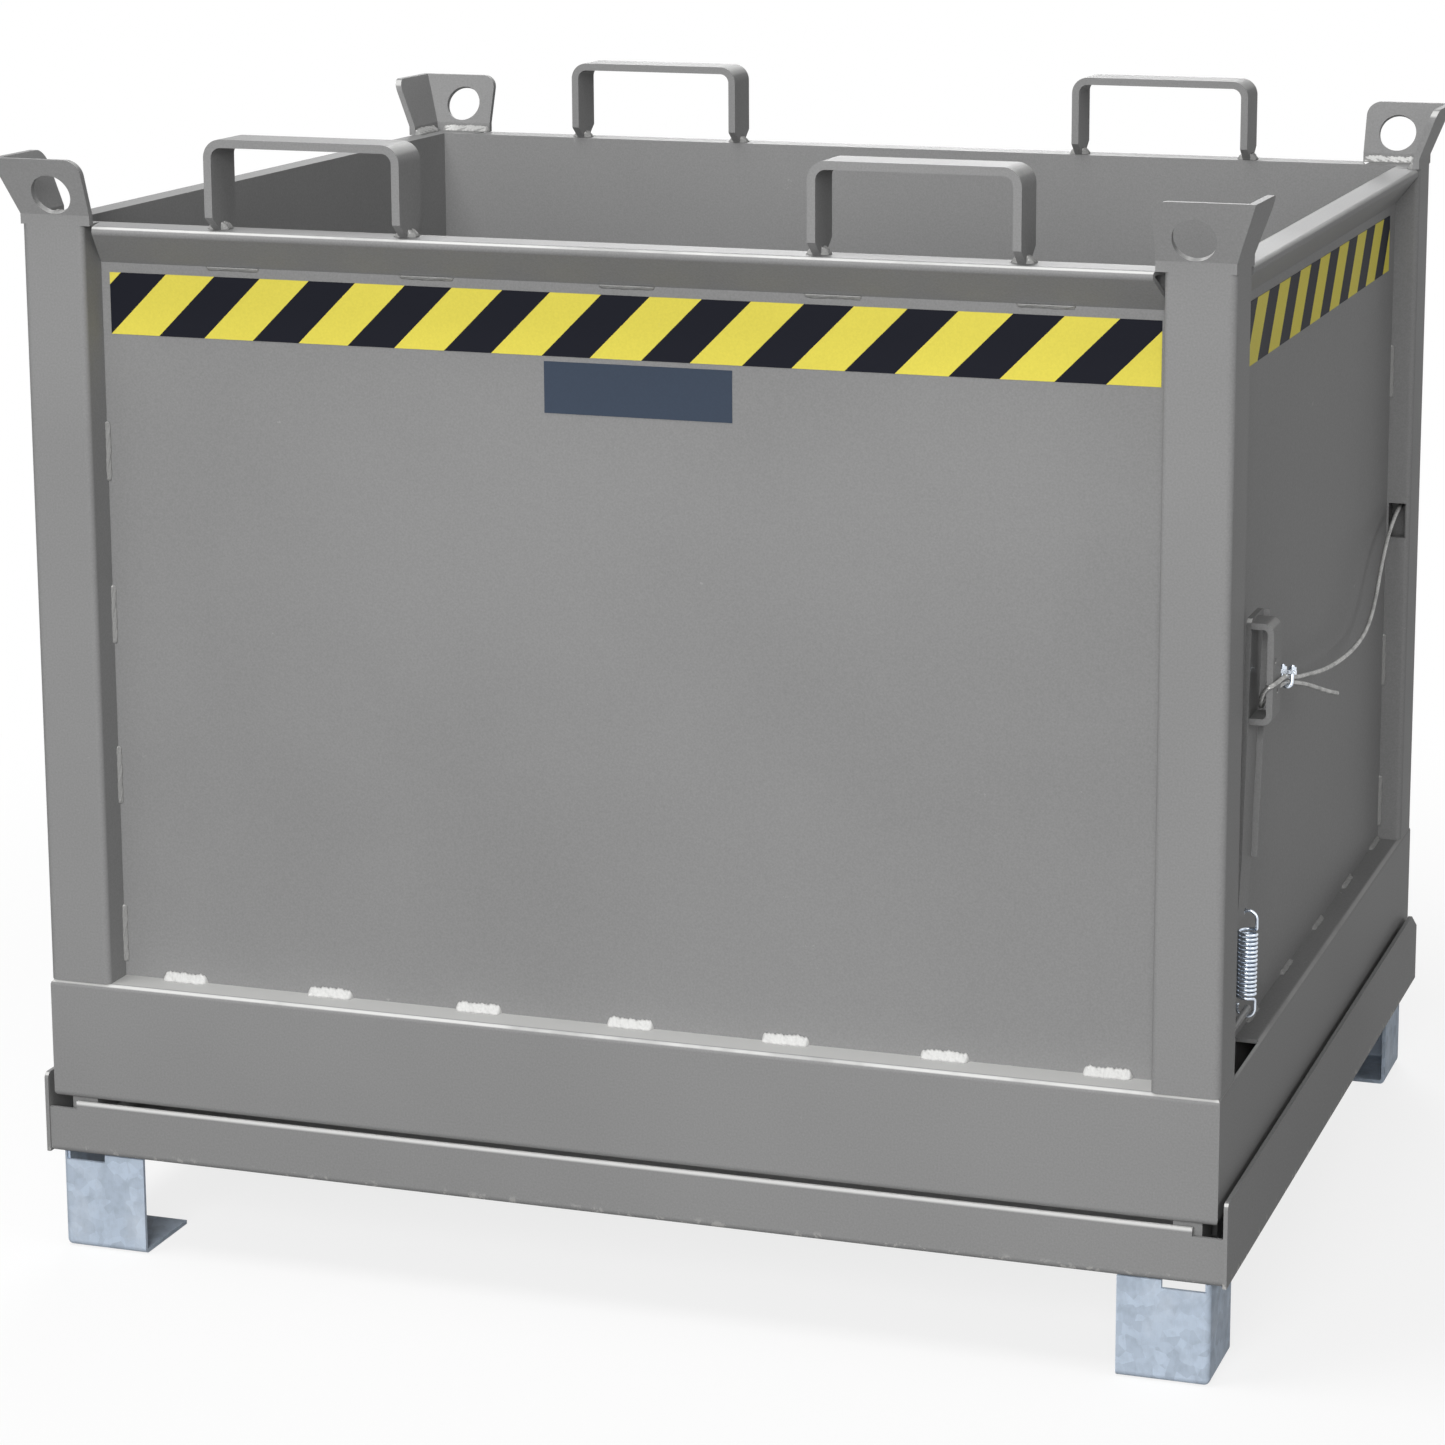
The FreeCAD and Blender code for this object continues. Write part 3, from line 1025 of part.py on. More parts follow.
def export_pieces():
    """Writes one file per piece and prints anything that isn't a sound solid."""
    os.makedirs("parts", exist_ok=True)
    for name, piece in pieces.items():
        solids = piece if isinstance(piece, list) else [piece]
        solids = [solid for shape in solids for solid in shape.Solids]
        for solid in solids:
            if not solid.isValid() or solid.Volume <= 0:
                print("not sound:", name, solid.isValid(), solid.Volume)
        shape = solids[0] if len(solids) == 1 else Part.makeCompound(solids)
        shape.exportStep("parts/" + name + ".step")
    print(len(pieces), "pieces")


make_walls()
make_rims()
make_posts()
make_bands()
make_lugs()
make_loops()
make_skins()
make_welds()
make_hinges()
make_pan()
make_feet()
make_lever()
make_stirrup()
make_spring()
make_ropes()
make_clip()
export_pieces()
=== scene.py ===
"""Hinged bottom hopper: finishes, welds, wire rope, grip and stage for the sheet steel container.

X runs along the front, +Y to the rear, +Z up, in metres. The origin is the centre of the footprint.
"""
import json
import math

import bpy
import numpy as np
from bpy.props import FloatProperty, FloatVectorProperty, PointerProperty
from mathutils import Matrix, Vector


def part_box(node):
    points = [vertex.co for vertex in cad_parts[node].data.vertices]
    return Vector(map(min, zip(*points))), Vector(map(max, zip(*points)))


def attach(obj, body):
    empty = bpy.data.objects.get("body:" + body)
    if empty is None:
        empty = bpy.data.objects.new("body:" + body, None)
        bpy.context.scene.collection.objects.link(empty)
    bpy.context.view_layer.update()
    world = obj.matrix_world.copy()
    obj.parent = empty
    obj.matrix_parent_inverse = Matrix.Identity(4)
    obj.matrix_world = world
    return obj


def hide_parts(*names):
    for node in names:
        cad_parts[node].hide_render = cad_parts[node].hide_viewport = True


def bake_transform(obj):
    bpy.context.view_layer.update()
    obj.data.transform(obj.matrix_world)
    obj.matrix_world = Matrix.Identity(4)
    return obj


bl_info = {
    "name": "Hinged bottom hopper",
    "version": (1, 0, 0),
    "blender": (4, 5, 0),
    "location": "View3D > Sidebar > Hopper",
    "description": "Dresses the hopper with paint, striped tape, weld beads, wire rope and galvanised feet",
    "category": "Object",
}

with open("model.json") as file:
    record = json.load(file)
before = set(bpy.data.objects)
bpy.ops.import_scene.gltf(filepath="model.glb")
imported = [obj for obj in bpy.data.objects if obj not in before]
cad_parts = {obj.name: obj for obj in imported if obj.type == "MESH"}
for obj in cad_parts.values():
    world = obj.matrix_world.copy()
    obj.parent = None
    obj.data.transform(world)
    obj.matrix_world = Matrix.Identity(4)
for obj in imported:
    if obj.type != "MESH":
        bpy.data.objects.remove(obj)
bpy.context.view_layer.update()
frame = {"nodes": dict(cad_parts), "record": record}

# Planes and heights of the container, from its own nodes
WALL_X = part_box("wall_right")[1][0]
WALL_Y = -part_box("wall_front")[0][1]
POST_INNER_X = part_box("post_front_right")[0][0]
POST_INNER_Y = -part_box("post_front_right")[1][1]
LEDGE_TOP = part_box("band_front")[1][2]
RIM_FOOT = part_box("rim_front")[0][2]
RIM_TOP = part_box("rim_front")[1][2]
WALL_HEIGHT = RIM_TOP - LEDGE_TOP
PAN_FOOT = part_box("pan_floor")[0][2]
TAPE_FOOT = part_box("hazard_tape_front")[0][2]
TAPE_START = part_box("hazard_tape_front")[0][0]

# Where the light stripes begin on the side tapes, and how much a stripe leans there
SIDE_STRIPE_START = -0.4361
SIDE_STRIPE_LEAN = 0.80

# Wire rope routes, each a list of points. In the clip, the live run lies on the free tail
CLIP_CENTRE = np.array((0.611, -0.291, 0.633))
CLIP_TILT = math.radians(14)
RUN = np.array((0.0, math.cos(CLIP_TILT), -math.sin(CLIP_TILT)))
UP = np.array((0.0, math.sin(CLIP_TILT), math.cos(CLIP_TILT)))
ROPE_OFFSET = 0.0024
CLIP_HALF = 0.015
CLIP_REACH = 0.045
LIVE = CLIP_CENTRE + UP * ROPE_OFFSET
TAIL = CLIP_CENTRE - UP * ROPE_OFFSET
ROPE_EXIT = (0.587, 0.500, 0.6619)
PULL_ROUTE = np.array([
    LIVE + RUN * CLIP_HALF, LIVE + RUN * CLIP_REACH, (0.6088, -0.183, 0.613), (0.6068, -0.124, 0.602),
    (0.6048, -0.065, 0.5925), (0.6029, -0.006, 0.5845), (0.6009, 0.052, 0.578), (0.599, 0.110, 0.5733),
    (0.597, 0.166, 0.5715), (0.5955, 0.212, 0.5745), (0.5943, 0.248, 0.5845), (0.5932, 0.277, 0.601),
    (0.5922, 0.306, 0.624), (0.591, 0.345, 0.647), (0.5895, 0.392, 0.6605), (0.588, 0.436, 0.666),
    (0.587, 0.472, 0.6645), ROPE_EXIT])
TAIL_ROUTE = np.array([
    TAIL + RUN * CLIP_HALF, TAIL + RUN * CLIP_REACH, (0.611, -0.190, 0.605), (0.614, -0.142, 0.590),
    (0.617, -0.103, 0.578), (0.6175, -0.068, 0.569)])
EYE_ROUTE = np.array([
    LIVE + RUN * CLIP_HALF, LIVE - RUN * CLIP_HALF, (0.6177, -0.334, 0.6457),
    (0.61737, -0.38086, 0.648), (0.60663, -0.38086, 0.642), (0.6015, -0.371, 0.621), (0.603, -0.342, 0.625),
    TAIL - RUN * CLIP_HALF, TAIL + RUN * CLIP_HALF])
END_ROUTE = np.array([
    ROPE_EXIT, (0.5866, 0.51279, 0.66067), (0.587, 0.514, 0.647), (0.587, 0.5125, 0.621),
    (0.587, 0.511, 0.571), (0.587, 0.5103, 0.512), (0.587, 0.510, 0.454), (0.587, 0.5102, 0.401),
    (0.587, 0.5102, 0.356)])
ROPE_STEP = 0.0012
WIRE_PITCH = 0.0042
WIRES_ROUND = 24

# The hand grip at the rope's end, whose waist is slimmer and whose ribs stop short of its ends
GRIP_LENGTH = 0.085
GRIP_RADIUS = 0.0095
GRIP_WAIST = 0.0013
GRIP_ROUNDING = 0.003
GRIP_END_SHARE = 0.35
RIB_COUNT = 9
RIB_HEIGHT = 0.00055
RIB_FLOOR = -0.2
RIB_REACH = 0.39

# The return spring, whose coil leans to the rear as it rises
SPRING_WIRE = 0.0015
COIL_RADIUS = 0.0085
COIL_PITCH = 0.004
COIL_TURNS = 16
COIL_LENGTH = COIL_TURNS * COIL_PITCH
SPRING_WAY = (0.0, 0.002, COIL_LENGTH)
SPRING_STEP = 0.0008
TURN_STEPS = 40
HOOK_RISE = 0.011
HOOK_OPEN_ANGLE = math.radians(138)
HOOK_CLOSED_ANGLE = math.radians(205)
HOOK_BLEND_ANGLE = math.radians(70)
HOOK_BLEND_RISE = 0.004
CLOSED_HOOK_STEPS = 40
OPEN_HOOK_STEPS = 30
PIVOT_Y = (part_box("pivot_pin")[0][1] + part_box("pivot_pin")[1][1]) / 2
SPRING_BASE = np.array((WALL_X + 0.022, PIVOT_Y + 0.029, LEDGE_TOP + 0.0615))

# The signs of X and Y at the four corners
CORNER_SIGNS = [(x, y) for x in (-1, 1) for y in (-1, 1)]

# Rows of weld stitches: the row's middle, the stitches' distance, number, length and leg
FRONT_LEDGE_ROW = (0.009, 0.1587, 7, 0.048, 0.0082)
SIDE_LEDGE_ROW = (0.0815, 0.163, 5, 0.048, 0.0042)
RIM_ROW = (0.012, 0.2025, 5, 0.056, 0.0036)

# Weld beads at the posts, which start at these shares of the wall's height, and at the lugs and loops
POST_SHARES = (0.0184, 0.2336, 0.4488, 0.664)
POST_STITCH, POST_LEG = 0.060, 0.0038
LUG_FRONT_START, LUG_SIDE_START = (0.526, -0.493), (0.593, -0.426)
LUG_BEAD, LUG_LEG = 0.059, 0.0074
LOOP_MIDDLE, LOOP_HALF, LOOP_SHEET_HALF, LOOP_FRONT = 0.302, 0.097, 0.004, -0.483
LOOP_BEAD, LOOP_LEG = 0.016, 0.0072

# The form of a weld bead, with its ripples and waves as shares of its radius
BEAD_STEP = 0.0011
BEAD_SIDES = 9
CROWN_POWER = 0.6
CRESCENT_BOW = 0.4
RIPPLE_DEPTH = 0.055
WAVE_DEPTH = 0.045
WAVE_COUNTS = (1.3, 2.9, 5.3)
END_LEGS = 1.6
END_FLOOR = 0.012
ROOT_DEPTH = 0.0003

# Tones of wear, of painted highlights, of dust with painted top light, and of plating
MARK = (0.48, 0.48, 0.47)
BEND_HIGHLIGHT = (0.66, 0.66, 0.65)
EDGE_HIGHLIGHT = (0.74, 0.74, 0.73)
CHIPPED = (0.52, 0.51, 0.49)
DUST_AND_TOP_LIGHT = (0.56, 0.56, 0.55)
ZINC_BLOOM = (0.68, 0.74, 0.82)
PLATING = (0.66, 0.72, 0.80)
TURNED_STEEL = (0.42, 0.42, 0.41)

# How far wear and painted highlight reach: chips about the pan's foot, the clearance over the feet, a
# painted highlight under a sheet's edge
CHIPS_LOW, CHIPS_HIGH = -0.002, 0.011
FEET_GAP = 0.004
EDGE_HIGHLIGHT_START, EDGE_HIGHLIGHT_FULL = 0.0045, 0.0015
LEDGE_SLACK = 0.002
SIDE_SLACK = 0.001

# Lamps: name, place, side of the square and share of the main lamp's power
LAMPS = (
    ("main_lamp", (0.8, -6.2, 2.7), 3.2, 1.0),
    ("top_lamp", (-1.2, -1.4, 5.0), 2.0, 0.36),
    ("rear_lamp", (-1.6, 6.0, 3.4), 3.2, 0.75),
    ("side_lamp", (6.0, -1.2, 3.0), 3.2, 0.20),
)
LAMP_AIM = (0.0, 0.0, 0.55)

# The floor: its level, how it shows and how it lights the object, and the span in which it turns white
FLOOR_LEVEL = -0.0006
FLOOR_SHOWN = (0.9, 0.9, 0.9)
FLOOR_BOUNCE = (0.22, 0.22, 0.22)
FLOOR_GLOW = 0.80
FADE_START, FADE_END = 0.9, 2.2
WHITE = (1.0, 1.0, 1.0, 1.0)

# The camera that matches the photograph's angle
CAMERA_PLACE = (1.35007, -3.96950, 1.51174)
CAMERA_AZIMUTH = math.radians(17.4554)
CAMERA_ELEVATION = math.radians(11.4262)
CAMERA_ROLL = math.radians(0.1371)
CAMERA_LENS = 100.68
CAMERA_SHIFT = (-0.10, -0.12)


class HopperColours(bpy.types.PropertyGroup):
    """Colours of the finishes."""

    paint: FloatVectorProperty(
        name="Paint", description="Colour of the painted steel", subtype="COLOR", min=0, max=1,
        default=(0.268, 0.268, 0.268))
    # The ledge weld colour is paler than the paint: a painted highlight on the beads in front and behind
    weld: FloatVectorProperty(
        name="Ledge weld", description="Worn paint of the weld beads on the ledge", subtype="COLOR",
        min=0, max=1, default=(0.62, 0.62, 0.61))
    bead: FloatVectorProperty(
        name="Weld", description="Paint of the weld beads elsewhere", subtype="COLOR", min=0, max=1,
        default=(0.31, 0.31, 0.305))
    tape_light: FloatVectorProperty(
        name="Tape light", description="Light stripes of the tape", subtype="COLOR", min=0, max=1,
        default=(0.78, 0.68, 0.105))
    tape_dark: FloatVectorProperty(
        name="Tape dark", description="Dark stripes of the tape", subtype="COLOR", min=0, max=1,
        default=(0.018, 0.019, 0.026))
    plate: FloatVectorProperty(
        name="Plate", description="Bare plate on the front", subtype="COLOR", min=0, max=1,
        default=(0.046, 0.062, 0.092))
    galvanised: FloatVectorProperty(
        name="Galvanised", description="Zinc coat of the feet", subtype="COLOR", min=0, max=1,
        default=(0.46, 0.535, 0.635))
    rope: FloatVectorProperty(
        name="Rope", description="Steel wire of the rope", subtype="COLOR", min=0, max=1,
        default=(0.42, 0.42, 0.41))
    grip: FloatVectorProperty(
        name="Grip", description="Moulded grip at the rope's end", subtype="COLOR", min=0, max=1,
        default=(0.018, 0.018, 0.019))


class HopperSizes(bpy.types.PropertyGroup):
    """Sizes of the stripes, welds, rope and stage."""

    stripe_pitch: FloatProperty(
        name="Stripe pitch", description="From one light stripe to the next along the tape",
        unit="LENGTH", min=0.01, default=0.0999)
    stripe_share: FloatProperty(
        name="Light share", description="Share of the pitch that is light", subtype="FACTOR",
        min=0, max=1, default=0.515)
    ripple_pitch: FloatProperty(
        name="Weld ripple", description="Distance between the ripples of a weld bead",
        unit="LENGTH", min=0.001, default=0.0042)
    rope_diameter: FloatProperty(
        name="Rope diameter", description="Diameter over the strands", unit="LENGTH",
        min=0.001, default=0.0045)
    rope_lay: FloatProperty(
        name="Rope lay", description="Length in which a strand goes once round", unit="LENGTH",
        min=0.005, default=0.030)
    floor_size: FloatProperty(
        name="Floor size", description="Side of the square floor", unit="LENGTH", min=2, default=30.0)
    key_power: FloatProperty(
        name="Main lamp", description="Power of the large front lamp", min=0, default=326.0)
    sky_strength: FloatProperty(
        name="Sky", description="Strength of the even light from all round", min=0, default=0.12)


def unit(vector):
    """A vector, or each row of an array of them, divided by its own length."""
    vector = np.asarray(vector, float)
    return vector / np.linalg.norm(vector, axis=-1, keepdims=True)


def reach_along(line):
    """The length of a line up to each of its points: the sum of the straight steps before it."""
    return np.r_[0.0, np.linalg.norm(np.diff(line, axis=0), axis=1).cumsum()]


def even_points(line, step):
    """Points about a step apart at equal lengths along a line, interpolated between its own."""
    reach = reach_along(line)
    places = np.linspace(0.0, reach[-1], round(reach[-1] / step) + 1)
    return np.stack([np.interp(places, reach, line[:, axis]) for axis in range(3)], axis=1)


def on_circle(first, second, angles):
    """The first vector times the cosine of each angle, plus the second times its sine."""
    return first * np.cos(angles)[..., None] + second * np.sin(angles)[..., None]


def even_angles(count):
    """Angles of a whole turn in that many equal steps from nought."""
    return np.arange(count) * 2 * math.pi / count


def shell(name, tubes):
    """One closed mesh from ring arrays shaped (rings, sides, 3).

    Each quad joins neighbours on two neighbouring rings, the last side joins the first, and a flat
    face closes each end. A tube whose signed volume, the sum of its face triangles' triple products,
    is negative has its rings reversed, so that its faces point outwards.
    """
    points = []
    faces = []
    maps = []
    first = 0
    for rings in tubes:
        count, sides = rings.shape[:2]
        step = np.roll(rings, -1, axis=1)
        volume = np.einsum("ijk,ijk->", rings[:-1], np.cross(step[:-1], step[1:]))
        volume += np.einsum("ijk,ijk->", rings[:-1], np.cross(step[1:], rings[1:]))
        if volume < 0:
            rings = rings[::-1]
        number = first + np.arange(count * sides).reshape(count, sides)
        turned = np.roll(number, -1, axis=1)
        quads = np.stack([number[:-1], turned[:-1], turned[1:], number[1:]], axis=-1).reshape(-1, 4)
        faces += quads.tolist()
        faces += [number[0][::-1].tolist(), number[-1].tolist()]
        points.append(rings.reshape(-1, 3))
        along = reach_along(rings.mean(axis=1))
        around = np.arange(sides + 1) / sides
        low_u, high_u = along[:-1, None], along[1:, None]
        left, right = around[None, :-1], around[None, 1:]
        shape = (count - 1, sides)
        corners = [(low_u, left), (low_u, right), (high_u, right), (high_u, left)]
        quad_map = np.stack([np.stack([np.broadcast_to(u, shape), np.broadcast_to(v, shape)], axis=-1)
                             for u, v in corners], axis=2)
        maps.append(quad_map.reshape(-1, 2))
        maps.append(np.tile([(0.0, 0.5)], (2 * sides, 1)))
        first += count * sides
    mesh = bpy.data.meshes.new(name)
    mesh.from_pydata(np.concatenate(points).tolist(), [], faces)
    layer = mesh.uv_layers.new(name="along_around")
    layer.data.foreach_set("uv", np.concatenate(maps).astype(np.float32).ravel())
    mesh.polygons.foreach_set("use_smooth", np.ones(len(mesh.polygons), bool))
    mesh.update()
    mesh.validate()
    piece = bpy.data.objects.new(name, mesh)
    bpy.context.scene.collection.objects.link(piece)
    return piece


def route_line(points):
    """Even points on the smooth line that a rope's route controls.

    The line is a quadratic NURBS spline whose control points are the route's points.
    """
    curve = bpy.data.curves.new("route", "CURVE")
    curve.dimensions = "3D"
    curve.resolution_u = 32
    spline = curve.splines.new("NURBS")
    spline.points.add(len(points) - 1)
    spline.points.foreach_set("co", np.c_[points, np.ones(len(points))].ravel())
    spline.order_u = 3
    spline.use_endpoint_u = True
    holder = bpy.data.objects.new("route", curve)
    bpy.context.scene.collection.objects.link(holder)
    mesh = bpy.data.meshes.new_from_object(holder)
    flat = np.empty(3 * len(mesh.vertices))
    mesh.vertices.foreach_get("co", flat)
    bpy.data.objects.remove(holder)
    bpy.data.curves.remove(curve)
    bpy.data.meshes.remove(mesh)
    return even_points(flat.reshape(-1, 3), ROPE_STEP)


def carried_frame(line):
    """Two unit vectors square to a line at each of its points, carried along it without twist.

    Each sideways vector is the one before, less its part along the line's new direction.
    """
    ways = unit(np.gradient(line, axis=0))
    sides = np.empty_like(ways)
    side = np.cross(ways[0], (0.2, 0.5, 0.8))
    for index, way in enumerate(ways):
        side = unit(side - way * side.dot(way))
        sides[index] = side
    return sides, np.cross(ways, sides)


def laid_rope(line, diameter, lay, strands=6, per_strand=6):
    """Rings of a laid wire rope along a line.

    The outline is that of round strands set in a ring, a third of the rope's radius each. At an angle
    a from a strand's middle its radius is c cos a + sqrt(s*s - c*c sin(a)**2), where s is the strand's
    radius and c its distance from the rope's middle. The outline turns once in each lay length.
    """
    radius = diameter / 2
    strand = radius / 3
    centre = radius - strand
    offset = (np.arange(per_strand) + 0.5) / per_strand - 0.5
    local = offset * 2 * math.pi / strands
    bulge = centre * np.cos(local) + np.sqrt(np.maximum(strand ** 2 - (centre * np.sin(local)) ** 2, 0))
    outline = np.tile(bulge, strands)
    turned = even_angles(strands * per_strand)[None, :] + 2 * math.pi * reach_along(line)[:, None] / lay
    side, other = carried_frame(line)
    rings = on_circle(side[:, None], other[:, None], turned)
    return line[:, None] + rings * outline[None, :, None]


def eased(start, start_way, end, end_way, steps=12):
    """A cubic Hermite line between two points whose pull at each end is the distance between them."""
    t = np.linspace(0.0, 1.0, steps)[:, None]
    pull = np.linalg.norm(end - start)
    return ((2 * t ** 3 - 3 * t ** 2 + 1) * start + (t ** 3 - 2 * t ** 2 + t) * pull * start_way
            + (3 * t ** 2 - 2 * t ** 3) * end + (t ** 3 - t ** 2) * pull * end_way)


def spring_line():
    """Even points on the wire of an extension spring: closed hook, coil, open hook.

    A point of the coil at angle a is the coil's radius times cos a out to the side and sin a in depth,
    and it rises evenly from one end of the coil to the other. A hook is an arc in the plane of the
    coil's axis, and a straight piece and an eased line join it to the coil.
    """
    out = np.array((1.0, 0.0, 0.0))
    axis = unit(SPRING_WAY)
    depth = np.cross(out, axis)

    def hook(rise, angles, sense):
        return SPRING_BASE + axis * rise + on_circle(out, axis * sense, angles) * COIL_RADIUS

    angles = np.linspace(
        HOOK_BLEND_ANGLE, 2 * math.pi * COIL_TURNS - HOOK_BLEND_ANGLE, TURN_STEPS * COIL_TURNS)
    share = (angles - angles[0]) / (angles[-1] - angles[0])
    coil = SPRING_BASE + on_circle(out, depth, angles) * COIL_RADIUS + axis * (share * COIL_LENGTH)[:, None]
    low = SPRING_BASE + out * COIL_RADIUS - axis * HOOK_BLEND_RISE
    high = SPRING_BASE + out * COIL_RADIUS + axis * (COIL_LENGTH + HOOK_BLEND_RISE)
    line = np.concatenate([
        hook(-HOOK_RISE, np.linspace(HOOK_CLOSED_ANGLE, 0.0, CLOSED_HOOK_STEPS), -1),
        eased(low, axis, coil[0], unit(coil[1] - coil[0])), coil[1:-1],
        eased(coil[-1], unit(coil[-1] - coil[-2]), high, axis),
        hook(COIL_LENGTH + HOOK_RISE, np.linspace(0.0, HOOK_OPEN_ANGLE, OPEN_HOOK_STEPS), 1)])
    return even_points(line, SPRING_STEP)


def round_wire(line, radius, sides=10):
    """Rings of a round wire along a line: at each of its points a circle square to it."""
    side, other = carried_frame(line)
    return line[:, None] + on_circle(side[:, None], other[:, None], even_angles(sides)) * radius


def bead_rings(start, way, out_a, out_b, length, leg, pitch, seed):
    """Rings of a fillet weld bead in an inside corner.

    For u along the bead and v across it from 0 to 1, the radius from the corner line is the leg over
    (cos + sin of v quarter turns) to the crown power, a full but slightly flat crown. It is scaled by
    an end rounding (1 - |2u - 1|**n)**0.5, by crescent ripples cos(2 pi (u L / pitch + bow (2v - 1)**2))
    and by three slow sine waves of random phase. The corner line, set a little way in, closes the ring.
    """
    random = np.random.default_rng(seed)
    steps = max(12, int(length / BEAD_STEP))
    u = np.linspace(0.0, 1.0, steps + 1)[:, None]
    v = np.linspace(0.0, 1.0, BEAD_SIDES)[None, :]
    quarter = v * math.pi / 2
    crown = leg / (np.cos(quarter) + np.sin(quarter)) ** CROWN_POWER
    rounding = 2 * round(2 + length / leg / END_LEGS)
    ends = np.sqrt(np.maximum(1.0 - np.abs(2 * u - 1) ** rounding, END_FLOOR))
    crescents = np.cos(2 * math.pi * (u * length / pitch + CRESCENT_BOW * (2 * v - 1) ** 2))
    phases = random.uniform(0, 2 * math.pi, 3)
    waves = sum(np.sin(2 * math.pi * u * count + phase + 2 * v * count)
                for count, phase in zip(WAVE_COUNTS, phases))
    radius = crown * ends * (1.0 + RIPPLE_DEPTH * crescents + WAVE_DEPTH * waves)
    place = start + way * length * u[..., None]
    outward = (radius * np.cos(quarter))[..., None] * out_a
    surface = place + outward + (radius * np.sin(quarter))[..., None] * out_b
    root = place - ROOT_DEPTH * (out_a + out_b)
    return np.concatenate([surface, root], axis=1)


def revolved(base, axis, heights, radii, sides=48):
    """Rings of a turned piece: at each height along the axis a circle of that radius."""
    axis = unit(axis)
    side = unit(np.cross(axis, (1.0, 0.3, 0.2)))
    circle = on_circle(side, np.cross(axis, side), even_angles(sides))
    return base + axis * heights[:, None, None] + circle[None] * radii[:, None, None]


def add_node(tree, kind, values=None, **settings):
    """A shader node with its settings and the values of its named or numbered inputs."""
    made = tree.nodes.new(kind)
    for key, value in settings.items():
        setattr(made, key, value)
    for key, value in (values or {}).items():
        made.inputs[key].default_value = value
    return made


def wire(tree, start, end):
    """Links an output to an input, each given as a node and a socket's name or number."""
    tree.links.new(start[0].outputs[start[1]], end[0].inputs[end[1]])


def arithmetic(tree, operation, first, second, third=None):
    """A Math node. Each operand is a number, or a node and the socket it comes from."""
    made = add_node(tree, "ShaderNodeMath", operation=operation)
    for index, operand in enumerate((first, second, third)):
        if operand is None:
            continue
        if isinstance(operand, tuple):
            wire(tree, operand, (made, index))
        else:
            made.inputs[index].default_value = operand
    return made, 0


def blend_colours(tree, factor, first, second):
    """A colour Mix node between two colours, each given as a value or as a node and its socket."""
    made = add_node(tree, "ShaderNodeMix", data_type="RGBA")
    wire(tree, factor, (made, 0))
    for index, colour in ((6, first), (7, second)):
        if isinstance(colour[0], bpy.types.Node):
            wire(tree, colour, (made, index))
        else:
            made.inputs[index].default_value = (*colour, 1.0)
    return made, 2


def ranged(tree, source, low, high, to_low=0.0, to_high=1.0):
    """A smooth Map Range from one span to another, held at its ends."""
    made = add_node(tree, "ShaderNodeMapRange",
                    {1: low, 2: high, 3: to_low, 4: to_high}, interpolation_type="SMOOTHSTEP")
    wire(tree, source, (made, 0))
    return made, 0


def noise(tree, place, scale, detail, roughness):
    """A Noise texture's value at a place, given as a node and the socket it comes from."""
    made = add_node(tree, "ShaderNodeTexNoise", {"Scale": scale, "Detail": detail, "Roughness": roughness})
    wire(tree, place, (made, "Vector"))
    return made, "Fac"


def scaled(tree, colour, factor):
    """A colour times a factor, each given as a node and the socket it comes from."""
    made = add_node(tree, "ShaderNodeVectorMath", operation="SCALE")
    wire(tree, colour, (made, 0))
    wire(tree, factor, (made, "Scale"))
    return made, 0


def split(tree, vector):
    """The X, Y and Z of a vector, given as a node and the socket it comes from."""
    made = add_node(tree, "ShaderNodeSeparateXYZ")
    wire(tree, vector, (made, 0))
    return (made, "X"), (made, "Y"), (made, "Z")


def new_group(name, inputs, outputs):
    """An empty shader node group with named inputs and outputs."""
    tree = bpy.data.node_groups.new(name, "ShaderNodeTree")
    for title, kind, default in inputs:
        socket = tree.interface.new_socket(title, in_out="INPUT", socket_type=kind)
        if default is not None:
            socket.default_value = default
    for title, kind in outputs:
        tree.interface.new_socket(title, in_out="OUTPUT", socket_type=kind)
    return tree, tree.nodes.new("NodeGroupInput"), tree.nodes.new("NodeGroupOutput")


